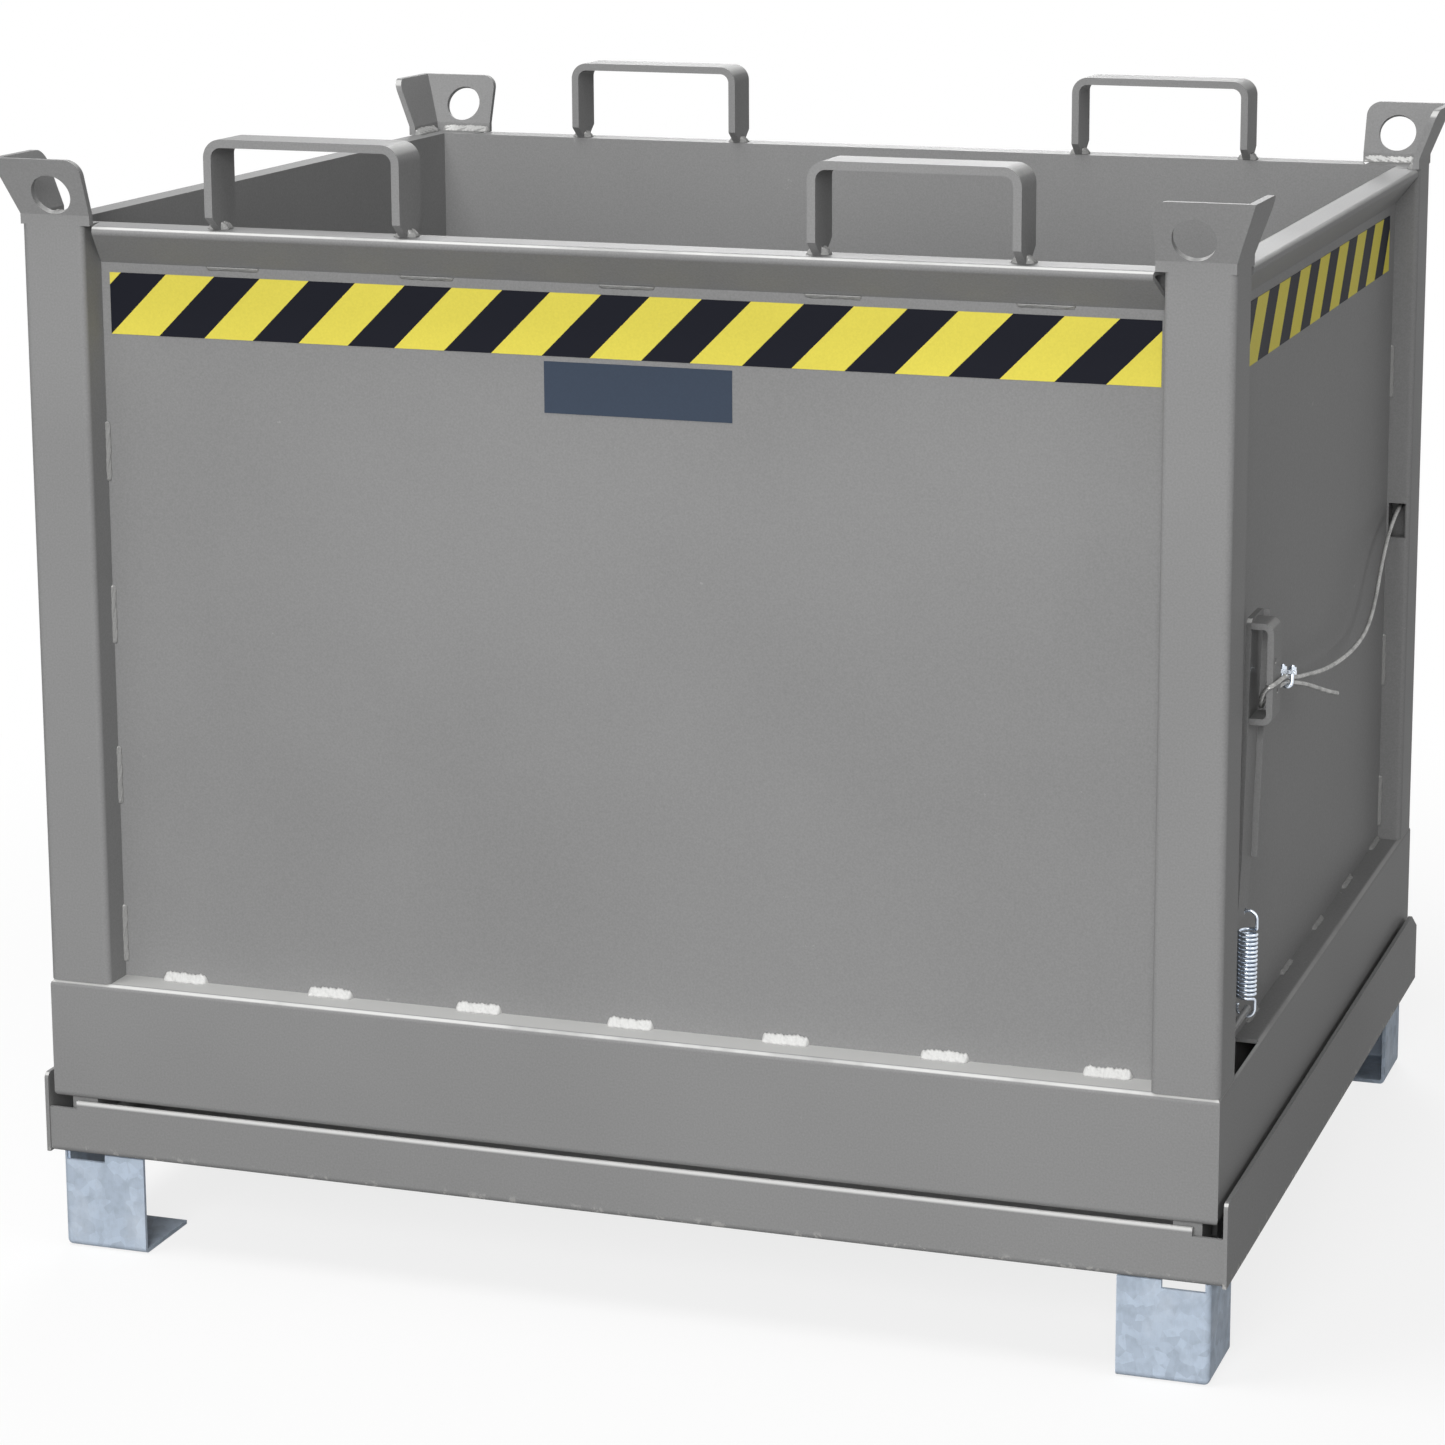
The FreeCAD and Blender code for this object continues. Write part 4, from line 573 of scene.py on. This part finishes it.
def coated_surface():
    """Group: colour, roughness and height of a sprayed coat, with mottling, fine grain and small marks."""
    if "coated_surface" in bpy.data.node_groups:
        return bpy.data.node_groups["coated_surface"]
    tree, given, result = new_group(
        "coated_surface",
        [("Place", "NodeSocketVector", None), ("Colour", "NodeSocketColor", (0.3, 0.3, 0.3, 1.0)),
         ("Roughness", "NodeSocketFloat", 0.45), ("Grain", "NodeSocketFloat", 1.0),
         ("Marks", "NodeSocketFloat", 0.5)],
        [("Colour", "NodeSocketColor"), ("Roughness", "NodeSocketFloat"), ("Height", "NodeSocketFloat")])
    place = (given, "Place")
    cloud = noise(tree, place, 2.6, 3.0, 0.55)
    grain = noise(tree, place, 520.0, 2.0, 0.6)
    peel = noise(tree, place, 150.0, 1.5, 0.45)
    spots = noise(tree, place, 38.0, 6.0, 0.72)
    tone = ranged(tree, cloud, 0.3, 0.7, 0.965, 1.035)
    speck = arithmetic(tree, "SUBTRACT", grain, 0.5)
    speck = arithmetic(tree, "MULTIPLY", speck, (given, "Grain"))
    speck = arithmetic(tree, "MULTIPLY_ADD", speck, 0.34, tone)
    mark = ranged(tree, spots, 0.685, 0.73)
    mark = arithmetic(tree, "MULTIPLY", mark, (given, "Marks"))
    colour = blend_colours(tree, mark, scaled(tree, (given, "Colour"), speck), MARK)
    wire(tree, colour, (result, "Colour"))
    rough = ranged(tree, cloud, 0.25, 0.75, -0.05, 0.05)
    rough = arithmetic(tree, "ADD", rough, (given, "Roughness"))
    wire(tree, rough, (result, "Roughness"))
    height = arithmetic(tree, "MULTIPLY_ADD", grain, 0.35, peel)
    height = arithmetic(tree, "MULTIPLY_ADD", mark, -0.5, height)
    wire(tree, height, (result, "Height"))
    return tree


def metal_surface():
    """Group: colour, roughness and height of bare or plated metal, with fine scratches, dull in patches."""
    if "metal_surface" in bpy.data.node_groups:
        return bpy.data.node_groups["metal_surface"]
    tree, given, result = new_group(
        "metal_surface",
        [("Place", "NodeSocketVector", None), ("Colour", "NodeSocketColor", (0.5, 0.5, 0.5, 1.0)),
         ("Roughness", "NodeSocketFloat", 0.35), ("Dulling", "NodeSocketFloat", 0.4)],
        [("Colour", "NodeSocketColor"), ("Roughness", "NodeSocketFloat"), ("Height", "NodeSocketFloat")])
    patch = noise(tree, (given, "Place"), 70.0, 5.0, 0.6)
    stretch = add_node(tree, "ShaderNodeMapping", {"Scale": (1600.0, 1600.0, 90.0)})
    wire(tree, (given, "Place"), (stretch, "Vector"))
    scratch = noise(tree, (stretch, 0), 1.0, 3.0, 0.6)
    dull = ranged(tree, patch, 0.42, 0.66)
    dull = arithmetic(tree, "MULTIPLY", dull, (given, "Dulling"))
    tone = arithmetic(tree, "MULTIPLY_ADD", dull, -0.45, 1.0)
    tone = arithmetic(tree, "MULTIPLY_ADD", scratch, 0.14, tone)
    wire(tree, scaled(tree, (given, "Colour"), tone), (result, "Colour"))
    rough = arithmetic(tree, "MULTIPLY_ADD", dull, 0.3, (given, "Roughness"))
    wire(tree, rough, (result, "Roughness"))
    wire(tree, scratch, (result, "Height"))
    return tree


def start_material(name, group, colour, roughness, bump, metallic=0.0, specular=0.5, **values):
    """A material whose surface comes from one of the groups, and the nodes a caller may build on.

    The values are the group's own named inputs.
    """
    material = bpy.data.materials.new(name)
    material.use_nodes = True
    tree = material.node_tree
    shader = tree.nodes["Principled BSDF"]
    shader.inputs["Metallic"].default_value = metallic
    shader.inputs["Specular IOR Level"].default_value = specular
    where = add_node(tree, "ShaderNodeTexCoord")
    surface = add_node(tree, "ShaderNodeGroup", node_tree=group)
    surface.inputs["Colour"].default_value = (*colour, 1.0)
    surface.inputs["Roughness"].default_value = roughness
    for key, value in values.items():
        surface.inputs[key].default_value = value
    wire(tree, (where, "Object"), (surface, "Place"))
    wire(tree, (surface, "Colour"), (shader, "Base Color"))
    wire(tree, (surface, "Roughness"), (shader, "Roughness"))
    relief = add_node(tree, "ShaderNodeBump", {"Strength": 0.5, "Distance": bump})
    wire(tree, (surface, "Height"), (relief, "Height"))
    wire(tree, (relief, "Normal"), (shader, "Normal"))
    return material, tree, shader, where, surface, relief


def painted_steel(name, colour, marks, edge=None, unhighlit_side_colour=None):
    """Grey satin paint on steel, with its wear, pale dust, and painted highlights and top light.

    Bends, whose upward normal is neither close to level nor close to upright, get a painted highlight
    in patches, weaker where they face sideways. Bright chips lie on steep surfaces about the pan's foot.
    A pale tone on the ledge in front and behind is dust together with painted top light. Edge is the
    height of a sheet's upper edge, whose last few millimetres get a painted highlight. Side colour is
    the colour without painted highlight for what lies beyond the side panels.
    """
    material, tree, shader, where, surface, _ = start_material(
        name, coated_surface(), colour, roughness=0.43, bump=0.00022, specular=0.012,
        Marks=marks, Grain=1.0)
    place = (where, "Object")
    facing_x, _, facing_z = split(tree, (where, "Normal"))
    place_x, _, place_z = split(tree, place)
    # Painted highlight on bends, in patches, weaker where a bend faces sideways
    sloping = ranged(tree, facing_z, 0.42, 0.62)
    level = ranged(tree, facing_z, 0.86, 0.97, 1.0, 0.0)
    bend = arithmetic(tree, "MULTIPLY", sloping, level)
    sideways = arithmetic(tree, "ABSOLUTE", facing_x, 0.0)
    bend = arithmetic(tree, "MULTIPLY", bend, ranged(tree, sideways, 0.2, 0.5, 1.0, 0.3))
    highlight_patches = ranged(tree, noise(tree, place, 9.0, 4.0, 0.6), 0.30, 0.55, 0.45, 1.0)
    bend = arithmetic(tree, "MULTIPLY", bend, highlight_patches)
    tint = blend_colours(tree, bend, (surface, "Colour"), BEND_HIGHLIGHT)
    worn = ranged(tree, noise(tree, place, 85.0, 5.0, 0.7), 0.56, 0.60)
    low = ranged(tree, place_z, PAN_FOOT + CHIPS_LOW, PAN_FOOT + CHIPS_HIGH, 1.0, 0.0)
    worn = arithmetic(tree, "MULTIPLY", worn, low)
    above_feet = arithmetic(tree, "GREATER_THAN", place_z, PAN_FOOT - FEET_GAP)
    worn = arithmetic(tree, "MULTIPLY", worn, above_feet)
    upward = arithmetic(tree, "ABSOLUTE", facing_z, 0.0)
    worn = arithmetic(tree, "MULTIPLY", worn, ranged(tree, upward, 0.6, 0.9, 1.0, 0.0))
    tint = blend_colours(tree, worn, tint, CHIPPED)
    # Pale dust together with painted top light on the ledge's upward faces, in front and behind only
    at_ledge = arithmetic(tree, "COMPARE", place_z, LEDGE_TOP, LEDGE_SLACK)
    top_light_and_dust = arithmetic(tree, "MULTIPLY", at_ledge, ranged(tree, facing_z, 0.97, 0.995, 0.0, 0.85))
    across = arithmetic(tree, "ABSOLUTE", place_x, 0.0)
    past_side = arithmetic(tree, "GREATER_THAN", across, WALL_X - SIDE_SLACK)
    top_light_and_dust = arithmetic(tree, "MULTIPLY", top_light_and_dust, arithmetic(tree, "SUBTRACT", 1.0, past_side))
    tint = blend_colours(tree, top_light_and_dust, tint, DUST_AND_TOP_LIGHT)
    # Beyond the side panels the colour without painted highlight takes over
    if unhighlit_side_colour is not None:
        tint = blend_colours(tree, past_side, tint, unhighlit_side_colour)
    # Painted highlight along the last few millimetres under a sheet's upper edge
    if edge is not None:
        near = ranged(tree, place_z, edge - EDGE_HIGHLIGHT_START, edge - EDGE_HIGHLIGHT_FULL)
        tint = blend_colours(tree, near, tint, EDGE_HIGHLIGHT)
    wire(tree, tint, (shader, "Base Color"))
    return material


def striped_tape(name, along, start, lean, colours, sizes):
    """Light and dark slanting stripes on a smooth tape, along X, 0, or along Y, 1.

    With s the distance from the start less the height above the foot times the lean, a place is light
    where the part of s over the pitch that is left after whole pitches is under the light share.
    """
    material, tree, shader, where, surface, _ = start_material(
        name, coated_surface(), colours.tape_light, roughness=0.42, bump=0.00004, specular=0.01,
        Marks=0.10, Grain=0.45)
    place = split(tree, (where, "Object"))
    rise = arithmetic(tree, "SUBTRACT", place[2], TAPE_FOOT)
    slant = arithmetic(tree, "MULTIPLY", rise, -lean)
    slanted = arithmetic(tree, "ADD", place[along], slant)
    shifted = arithmetic(tree, "SUBTRACT", slanted, start)
    turns = arithmetic(tree, "DIVIDE", shifted, sizes.stripe_pitch)
    part = arithmetic(tree, "FRACT", turns, 0.0)
    dark = arithmetic(tree, "GREATER_THAN", part, sizes.stripe_share)
    tint = blend_colours(tree, dark, (surface, "Colour"), tuple(colours.tape_dark))
    wire(tree, tint, (shader, "Base Color"))
    return material


def bare_plate(name, colour):
    """Smooth coated plate with nothing on it."""
    return start_material(name, coated_surface(), colour, roughness=0.38, bump=0.00005, specular=0.12,
                          Marks=0.03, Grain=0.5)[0]


def galvanised_steel(name, colour):
    """Dipped zinc: cells of different tone under a pale bloom."""
    material, tree, shader, where, surface, _ = start_material(
        name, metal_surface(), colour, roughness=0.50, bump=0.00012, metallic=0.02, specular=0.05,
        Dulling=0.28)
    cells = add_node(tree, "ShaderNodeTexVoronoi", {"Scale": 95.0, "Randomness": 1.0})
    wire(tree, (where, "Object"), (cells, "Vector"))
    tone = add_node(tree, "ShaderNodeSeparateColor")
    wire(tree, (cells, "Color"), (tone, 0))
    shade = scaled(tree, (surface, "Colour"), ranged(tree, (tone, 0), 0.0, 1.0, 0.90, 1.07))
    pale = ranged(tree, noise(tree, (where, "Object"), 16.0, 6.0, 0.65), 0.46, 0.74, 0.0, 0.48)
    wire(tree, blend_colours(tree, pale, shade, ZINC_BLOOM), (shader, "Base Color"))
    return material


def plated_metal(name, colour, roughness, dulling):
    """Bright zinc plating or bare turned steel."""
    return start_material(name, metal_surface(), colour, roughness, bump=0.00003,
                          metallic=1.0, Dulling=dulling)[0]


def rope_wire(name, colour):
    """Steel wires within each strand, drawn from the rope's own map as slanting ridges."""
    material, tree, shader, where, surface, relief = start_material(
        name, metal_surface(), colour, roughness=0.38, bump=0.00010, metallic=0.85, Dulling=0.6)
    map_along, map_around, _ = split(tree, (where, "UV"))
    along = arithmetic(tree, "MULTIPLY", map_along, 2 * math.pi / WIRE_PITCH)
    slant = arithmetic(tree, "MULTIPLY_ADD", map_around, 2 * math.pi * WIRES_ROUND, along)
    ridge = arithmetic(tree, "SINE", slant, 0.0)
    height = arithmetic(tree, "MULTIPLY_ADD", ridge, 0.5, (surface, "Height"))
    wire(tree, height, (relief, "Height"))
    # Painted shade: the grooves between the wires are darker
    groove_shade = ranged(tree, ridge, -1.0, -0.2, 0.55, 1.0)
    wire(tree, scaled(tree, (surface, "Colour"), groove_shade), (shader, "Base Color"))
    return material


def moulded_plastic(name, colour):
    """Dull moulded plastic."""
    return start_material(name, coated_surface(), colour, roughness=0.5, bump=0.0001,
                          Marks=0.02, Grain=0.9)[0]


def dress(names, material):
    """Gives a material to CAD nodes, slot by slot."""
    for name in names:
        for slot in frame["nodes"][name].material_slots:
            slot.material = material


def finish_piece(piece, material, slot, *nodes):
    """Gives a new piece its material, and hides the nodes it stands for; the slot is not used."""
    piece.data.materials.append(material)
    if nodes:
        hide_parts(*nodes)
    return piece


def stitches(row, foot, way, out_a, out_b, mirror):
    """A centred row of weld stitches along a way through a foot point, each with its mirrored copy."""
    middle, distance, count, length, leg = row
    for index in range(count):
        start = foot + way * (middle + (index - (count - 1) / 2) * distance - length / 2)
        yield start, way, out_a, out_b, length, leg
        yield start * mirror, way * mirror, out_a * mirror, out_b * mirror, length, leg


def corner_mirrors(start, way, out_a, out_b):
    """The four copies of a bead row on the front right corner, one for each corner."""
    for sign_x, sign_y in CORNER_SIGNS:
        turn = np.array((sign_x, -sign_y, 1.0))
        yield start * turn, way * turn, out_a * turn, out_b * turn


class HOPPER_OT_view(bpy.types.Operator):
    """Set the camera at the photograph's viewing angle"""

    bl_idname = "hopper.view"
    bl_label = "Camera"

    def execute(self, context):
        azimuth, elevation, roll = CAMERA_AZIMUTH, CAMERA_ELEVATION, CAMERA_ROLL
        back = np.array((math.sin(azimuth) * math.cos(elevation), -math.cos(azimuth) * math.cos(elevation),
                         math.sin(elevation)))
        level = unit(np.cross(-back, (0.0, 0.0, 1.0)))
        upright = np.cross(back, level)
        right = level * math.cos(roll) + upright * math.sin(roll)
        up = upright * math.cos(roll) - level * math.sin(roll)
        data = bpy.data.cameras.new("camera")
        data.sensor_width = 36.0
        data.lens = CAMERA_LENS
        data.shift_x, data.shift_y = CAMERA_SHIFT
        data.clip_end = 100.0
        camera = bpy.data.objects.new("camera", data)
        turn = np.eye(4)
        turn[:3, :4] = np.stack([right, up, back, CAMERA_PLACE], axis=1)
        camera.matrix_world = Matrix(turn.tolist())
        context.scene.collection.objects.link(camera)
        context.scene.camera = camera
        return {"FINISHED"}


class HOPPER_OT_ropes(bpy.types.Operator):
    """Lay the pull rope, its eye, its free tail and its hanging end with the grip"""

    bl_idname = "hopper.ropes"
    bl_label = "Wire rope"

    def execute(self, context):
        sizes = context.scene.hopper_sizes
        steel = rope_wire("rope_wire", context.scene.hopper_colours.rope)
        lines = {}
        made = {}
        for name, route in (("pull_rope", PULL_ROUTE), ("rope_tail", TAIL_ROUTE), ("rope_eye", EYE_ROUTE),
                            ("pull_rope_end", END_ROUTE)):
            lines[name] = route_line(route)
            rings = laid_rope(lines[name], sizes.rope_diameter, sizes.rope_lay)
            made[name] = finish_piece(shell(name + "_wires", [rings]), steel, "wire_rope", name)
        lengths = {name: float(reach_along(line)[-1]) for name, line in lines.items()}
        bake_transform(made["pull_rope"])
        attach(made["rope_eye"], "lever")
        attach(made["rope_tail"], "lever")
        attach(made["pull_rope_end"], "container")
        bpy.ops.hopper.grip()
        return {"FINISHED"}


class HOPPER_OT_grip(bpy.types.Operator):
    """Make the ribbed hand grip at the rope's end"""

    bl_idname = "hopper.grip"
    bl_label = "Grip"

    def execute(self, context):
        plastic = moulded_plastic("grip_plastic", context.scene.hopper_colours.grip)
        base = END_ROUTE[-1]
        axis = unit(END_ROUTE[-1] - END_ROUTE[-2])
        heights = np.linspace(0.0, GRIP_LENGTH, 110)
        share = heights / heights[-1]
        body = GRIP_RADIUS - GRIP_WAIST * np.sin(math.pi * share)
        ribs = RIB_HEIGHT * np.maximum(np.cos(2 * math.pi * share * RIB_COUNT), RIB_FLOOR)
        ribs = ribs * (np.abs(share - 0.5) < RIB_REACH)
        ends = np.sqrt(1 - np.clip(1 - heights / GRIP_ROUNDING, 0, 1) ** 2)
        ends *= np.sqrt(1 - np.clip(1 - (heights[-1] - heights) / GRIP_ROUNDING, 0, 1) ** 2)
        radii = np.minimum((body + ribs) * np.maximum(ends, GRIP_END_SHARE), GRIP_RADIUS)
        piece = shell("grip_moulding", [revolved(base, axis, heights, radii)])
        finish_piece(piece, plastic, "black_plastic", "pull_grip")
        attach(piece, "container")
        return {"FINISHED"}


class HOPPER_OT_spring(bpy.types.Operator):
    """Wind the return spring, with a hook at each end"""

    bl_idname = "hopper.spring"
    bl_label = "Return spring"

    def execute(self, context):
        plating = plated_metal("spring_plating", PLATING, roughness=0.26, dulling=0.35)
        piece = shell("return_spring_wire", [round_wire(spring_line(), SPRING_WIRE)])
        finish_piece(piece, plating, "zinc", "return_spring")
        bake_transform(piece)
        return {"FINISHED"}


class HOPPER_OT_welds(bpy.types.Operator):
    """Run the rippled weld beads along the ledge, the posts and the top edge"""

    bl_idname = "hopper.welds"
    bl_label = "Welds"

    def execute(self, context):
        pitch = context.scene.hopper_sizes.ripple_pitch
        # Ledge welds get a pale colour as painted highlight, except on the side rows
        highlit_weld_coat = painted_steel("ledge_weld_highlight_paint", context.scene.hopper_colours.weld, marks=0.6,
                                  unhighlit_side_colour=tuple(context.scene.hopper_colours.bead))
        coat = painted_steel("weld_paint", context.scene.hopper_colours.bead, marks=0.4)
        x_way, y_way, z_way = np.eye(3)
        to_rear, to_left = np.array((1.0, -1.0, 1.0)), np.array((-1.0, 1.0, 1.0))
        front_foot = np.array((0.0, -WALL_Y, LEDGE_TOP))
        side_foot = np.array((WALL_X, 0.0, LEDGE_TOP))
        rim_foot = np.array((0.0, -WALL_Y, RIM_FOOT))
        ledge = [*stitches(FRONT_LEDGE_ROW, front_foot, x_way, -y_way, z_way, to_rear),
                 *stitches(SIDE_LEDGE_ROW, side_foot, y_way, x_way, z_way, to_left)]
        posts = []
        for share in POST_SHARES:
            low = LEDGE_TOP + share * WALL_HEIGHT
            front_row = (np.array((POST_INNER_X, -WALL_Y, low)), z_way, -x_way, -y_way)
            side_row = (np.array((WALL_X, -POST_INNER_Y, low)), z_way, x_way, y_way)
            posts += [(*bead, POST_STITCH, POST_LEG) for bead in corner_mirrors(*front_row)]
            at_window = low < ROPE_EXIT[2] < low + POST_STITCH
            posts += [(*bead, POST_STITCH, POST_LEG) for bead in corner_mirrors(*side_row)
                      if not (at_window and bead[0][0] > 0 and bead[0][1] > 0)]
        top = list(stitches(RIM_ROW, rim_foot, x_way, -y_way, -z_way, to_rear))
        lug_rows = [(np.array((*LUG_FRONT_START, RIM_TOP)), x_way, y_way, z_way),
                    (np.array((*LUG_SIDE_START, RIM_TOP)), -y_way, -x_way, z_way)]
        top += [(*bead, LUG_BEAD, LUG_LEG) for row in lug_rows for bead in corner_mirrors(*row)]
        for side in (-1, 1):
            for face in (-1, 1):
                across = LOOP_MIDDLE + side * LOOP_HALF + face * LOOP_SHEET_HALF
                start = np.array((across, LOOP_FRONT, RIM_TOP))
                top += [(*bead, LOOP_BEAD, LOOP_LEG)
                        for bead in corner_mirrors(start, y_way, face * x_way, z_way)]
        seed = 0
        rows = (("ledge_welds", ledge, highlit_weld_coat), ("post_welds", posts, coat), ("top_welds", top, coat))
        for name, beads, paint in rows:
            tubes = []
            for start, way, out_a, out_b, length, leg in beads:
                seed += 1
                tubes.append(bead_rings(start, way, out_a, out_b, length, leg, pitch, seed))
            piece = finish_piece(shell(name + "_beads", tubes), paint, "grey_paint", name)
            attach(piece, "container")
        return {"FINISHED"}


class HOPPER_OT_paint(bpy.types.Operator):
    """Paint the container, the lever and the floor pan"""

    bl_idname = "hopper.paint"
    bl_label = "Painted steel"

    def execute(self, context):
        coat = painted_steel("grey_paint", context.scene.hopper_colours.paint, marks=0.35)
        names = [row["node"] for row in frame["record"]["subparts"] if row["material_slot"] == "grey_paint"]
        if not names:
            raise RuntimeError("no painted nodes in the record")
        dress(names, coat)
        # The pan's lip gets a painted highlight along its top edge
        lip_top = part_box("pan_floor")[1][2]
        pan_coat_with_lip_highlight = painted_steel("pan_paint_with_lip_highlight", context.scene.hopper_colours.paint, marks=0.35, edge=lip_top)
        dress(["pan_floor"], pan_coat_with_lip_highlight)
        return {"FINISHED"}


class HOPPER_OT_tape(bpy.types.Operator):
    """Stripe the four tapes and finish the bare plate"""

    bl_idname = "hopper.tape"
    bl_label = "Tape and plate"

    def execute(self, context):
        colours = context.scene.hopper_colours
        sizes = context.scene.hopper_sizes
        dress(["hazard_tape_front", "hazard_tape_rear"],
              striped_tape("tape_front_and_rear", 0, TAPE_START, 1.0, colours, sizes))
        dress(["hazard_tape_left", "hazard_tape_right"],
              striped_tape("tape_sides", 1, SIDE_STRIPE_START, SIDE_STRIPE_LEAN, colours, sizes))
        dress(["blank_plate"], bare_plate("plate_blue", colours.plate))
        return {"FINISHED"}


class HOPPER_OT_feet(bpy.types.Operator):
    """Galvanise the bent feet"""

    bl_idname = "hopper.feet"
    bl_label = "Feet"

    def execute(self, context):
        zinc = galvanised_steel("galvanised", context.scene.hopper_colours.galvanised)
        dress(["feet_front", "feet_rear"], zinc)
        return {"FINISHED"}


class HOPPER_OT_fittings(bpy.types.Operator):
    """Finish the rope clip, the ferrule, the spring's peg, the pins and the spacers"""

    bl_idname = "hopper.fittings"
    bl_label = "Fittings"

    def execute(self, context):
        dress(["rope_clip_saddle", "rope_clip_bolt", "rope_clip_nuts", "grip_ferrule"],
              plated_metal("zinc_plating", PLATING, roughness=0.26, dulling=0.35))
        peg_coat = painted_steel("peg_paint", context.scene.hopper_colours.paint, marks=0.35)
        dress(["spring_peg"], peg_coat)
        dress(["hinge_pins", "pivot_pin", "pivot_spacers"],
              plated_metal("turned_steel", TURNED_STEEL, roughness=0.36, dulling=0.6))
        return {"FINISHED"}


class HOPPER_OT_stage(bpy.types.Operator):
    """Set the pale floor, the sky and the soft lamps"""

    bl_idname = "hopper.stage"
    bl_label = "Stage"

    def execute(self, context):
        sizes = context.scene.hopper_sizes
        context.scene.view_settings.view_transform = "Standard"
        half = sizes.floor_size / 2
        mesh = bpy.data.meshes.new("floor")
        corners = ((-half, -half), (half, -half), (half, half), (-half, half))
        mesh.from_pydata([(*corner, FLOOR_LEVEL) for corner in corners], [], [(0, 1, 2, 3)])
        floor = bpy.data.objects.new("floor", mesh)
        context.scene.collection.objects.link(floor)
        floor.data.materials.append(self.floor_material())
        self.sky(context, sizes.sky_strength)
        for name, place, size, share in LAMPS:
            self.lamp(context, name, place, size, sizes.key_power * share)
        return {"FINISHED"}

    def seen_directly(self, tree):
        """One where a ray comes straight from the camera, a gloss or a glass, else nought."""
        path = add_node(tree, "ShaderNodeLightPath")
        seen = arithmetic(tree, "MAXIMUM", (path, "Is Camera Ray"), (path, "Is Glossy Ray"))
        return arithmetic(tree, "MAXIMUM", seen, (path, "Is Transmission Ray"))

    def floor_material(self):
        """Pale floor that shows white, keeps a soft shadow and runs out into plain white further off."""
        material = bpy.data.materials.new("pale_floor")
        material.use_nodes = True
        tree = material.node_tree
        shader = tree.nodes["Principled BSDF"]
        shader.inputs["Roughness"].default_value = 0.9
        shader.inputs["Specular IOR Level"].default_value = 0.0
        seen = self.seen_directly(tree)
        tint = blend_colours(tree, seen, FLOOR_BOUNCE, FLOOR_SHOWN)
        wire(tree, tint, (shader, "Base Color"))
        glow = add_node(tree, "ShaderNodeEmission", {"Color": WHITE, "Strength": 1.0})
        mix = add_node(tree, "ShaderNodeMixShader")
        where = add_node(tree, "ShaderNodeTexCoord")
        distance = add_node(tree, "ShaderNodeVectorMath", operation="LENGTH")
        wire(tree, (where, "Object"), (distance, 0))
        fade = ranged(tree, (distance, "Value"), FADE_START, FADE_END, FLOOR_GLOW, 1.0)
        share = arithmetic(tree, "MULTIPLY", seen, fade)
        wire(tree, share, (mix, 0))
        wire(tree, (shader, 0), (mix, 1))
        wire(tree, (glow, 0), (mix, 2))
        wire(tree, (mix, 0), (tree.nodes["Material Output"], "Surface"))
        return material

    def sky(self, context, strength):
        """Even light from all round, seen as plain white."""
        world = bpy.data.worlds.new("sky")
        world.use_nodes = True
        tree = world.node_tree
        level = arithmetic(tree, "MULTIPLY_ADD", self.seen_directly(tree), 1.0 - strength, strength)
        wire(tree, level, (tree.nodes["Background"], "Strength"))
        tree.nodes["Background"].inputs["Color"].default_value = WHITE
        context.scene.world = world

    def lamp(self, context, name, place, size, power):
        """A square soft lamp that points at the container's middle."""
        data = bpy.data.lights.new(name, "AREA")
        data.energy = power
        data.size = size
        holder = bpy.data.objects.new(name, data)
        back = unit(np.asarray(place) - LAMP_AIM)
        side = unit(np.cross((0.0, 1.0, 0.02), back))
        turn = np.eye(4)
        turn[:3, :4] = np.stack([side, np.cross(back, side), back, place], axis=1)
        holder.matrix_world = Matrix(turn.tolist())
        context.scene.collection.objects.link(holder)


class HOPPER_PT_panel(bpy.types.Panel):
    """The hopper's steps and settings"""

    bl_idname = "HOPPER_PT_panel"
    bl_label = "Hinged bottom hopper"
    bl_space_type = "VIEW_3D"
    bl_region_type = "UI"
    bl_category = "Hopper"

    def draw(self, context):
        for step in STEPS:
            self.layout.operator(step.bl_idname)
        for group in (context.scene.hopper_colours, context.scene.hopper_sizes):
            box = self.layout.box()
            for key in group.bl_rna.properties.keys():
                if key not in ("rna_type", "name"):
                    box.prop(group, key)


STEPS = (HOPPER_OT_view, HOPPER_OT_ropes, HOPPER_OT_grip, HOPPER_OT_spring, HOPPER_OT_welds,
         HOPPER_OT_paint, HOPPER_OT_tape, HOPPER_OT_feet, HOPPER_OT_fittings, HOPPER_OT_stage)
CLASSES = (HopperColours, HopperSizes, *STEPS, HOPPER_PT_panel)


def register():
    """Adds the classes and the scene's colours and sizes."""
    for each in CLASSES:
        bpy.utils.register_class(each)
    bpy.types.Scene.hopper_colours = PointerProperty(type=HopperColours)
    bpy.types.Scene.hopper_sizes = PointerProperty(type=HopperSizes)


def unregister():
    """Takes away what register adds."""
    del bpy.types.Scene.hopper_sizes
    del bpy.types.Scene.hopper_colours
    for each in reversed(CLASSES):
        bpy.utils.unregister_class(each)


def main():
    """Makes the camera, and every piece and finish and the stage."""
    register()
    bpy.ops.hopper.view()
    bpy.ops.hopper.ropes()
    bpy.ops.hopper.spring()
    bpy.ops.hopper.welds()
    bpy.ops.hopper.paint()
    bpy.ops.hopper.tape()
    bpy.ops.hopper.feet()
    bpy.ops.hopper.fittings()
    bpy.ops.hopper.stage()


if __name__ == "__main__":
    main()
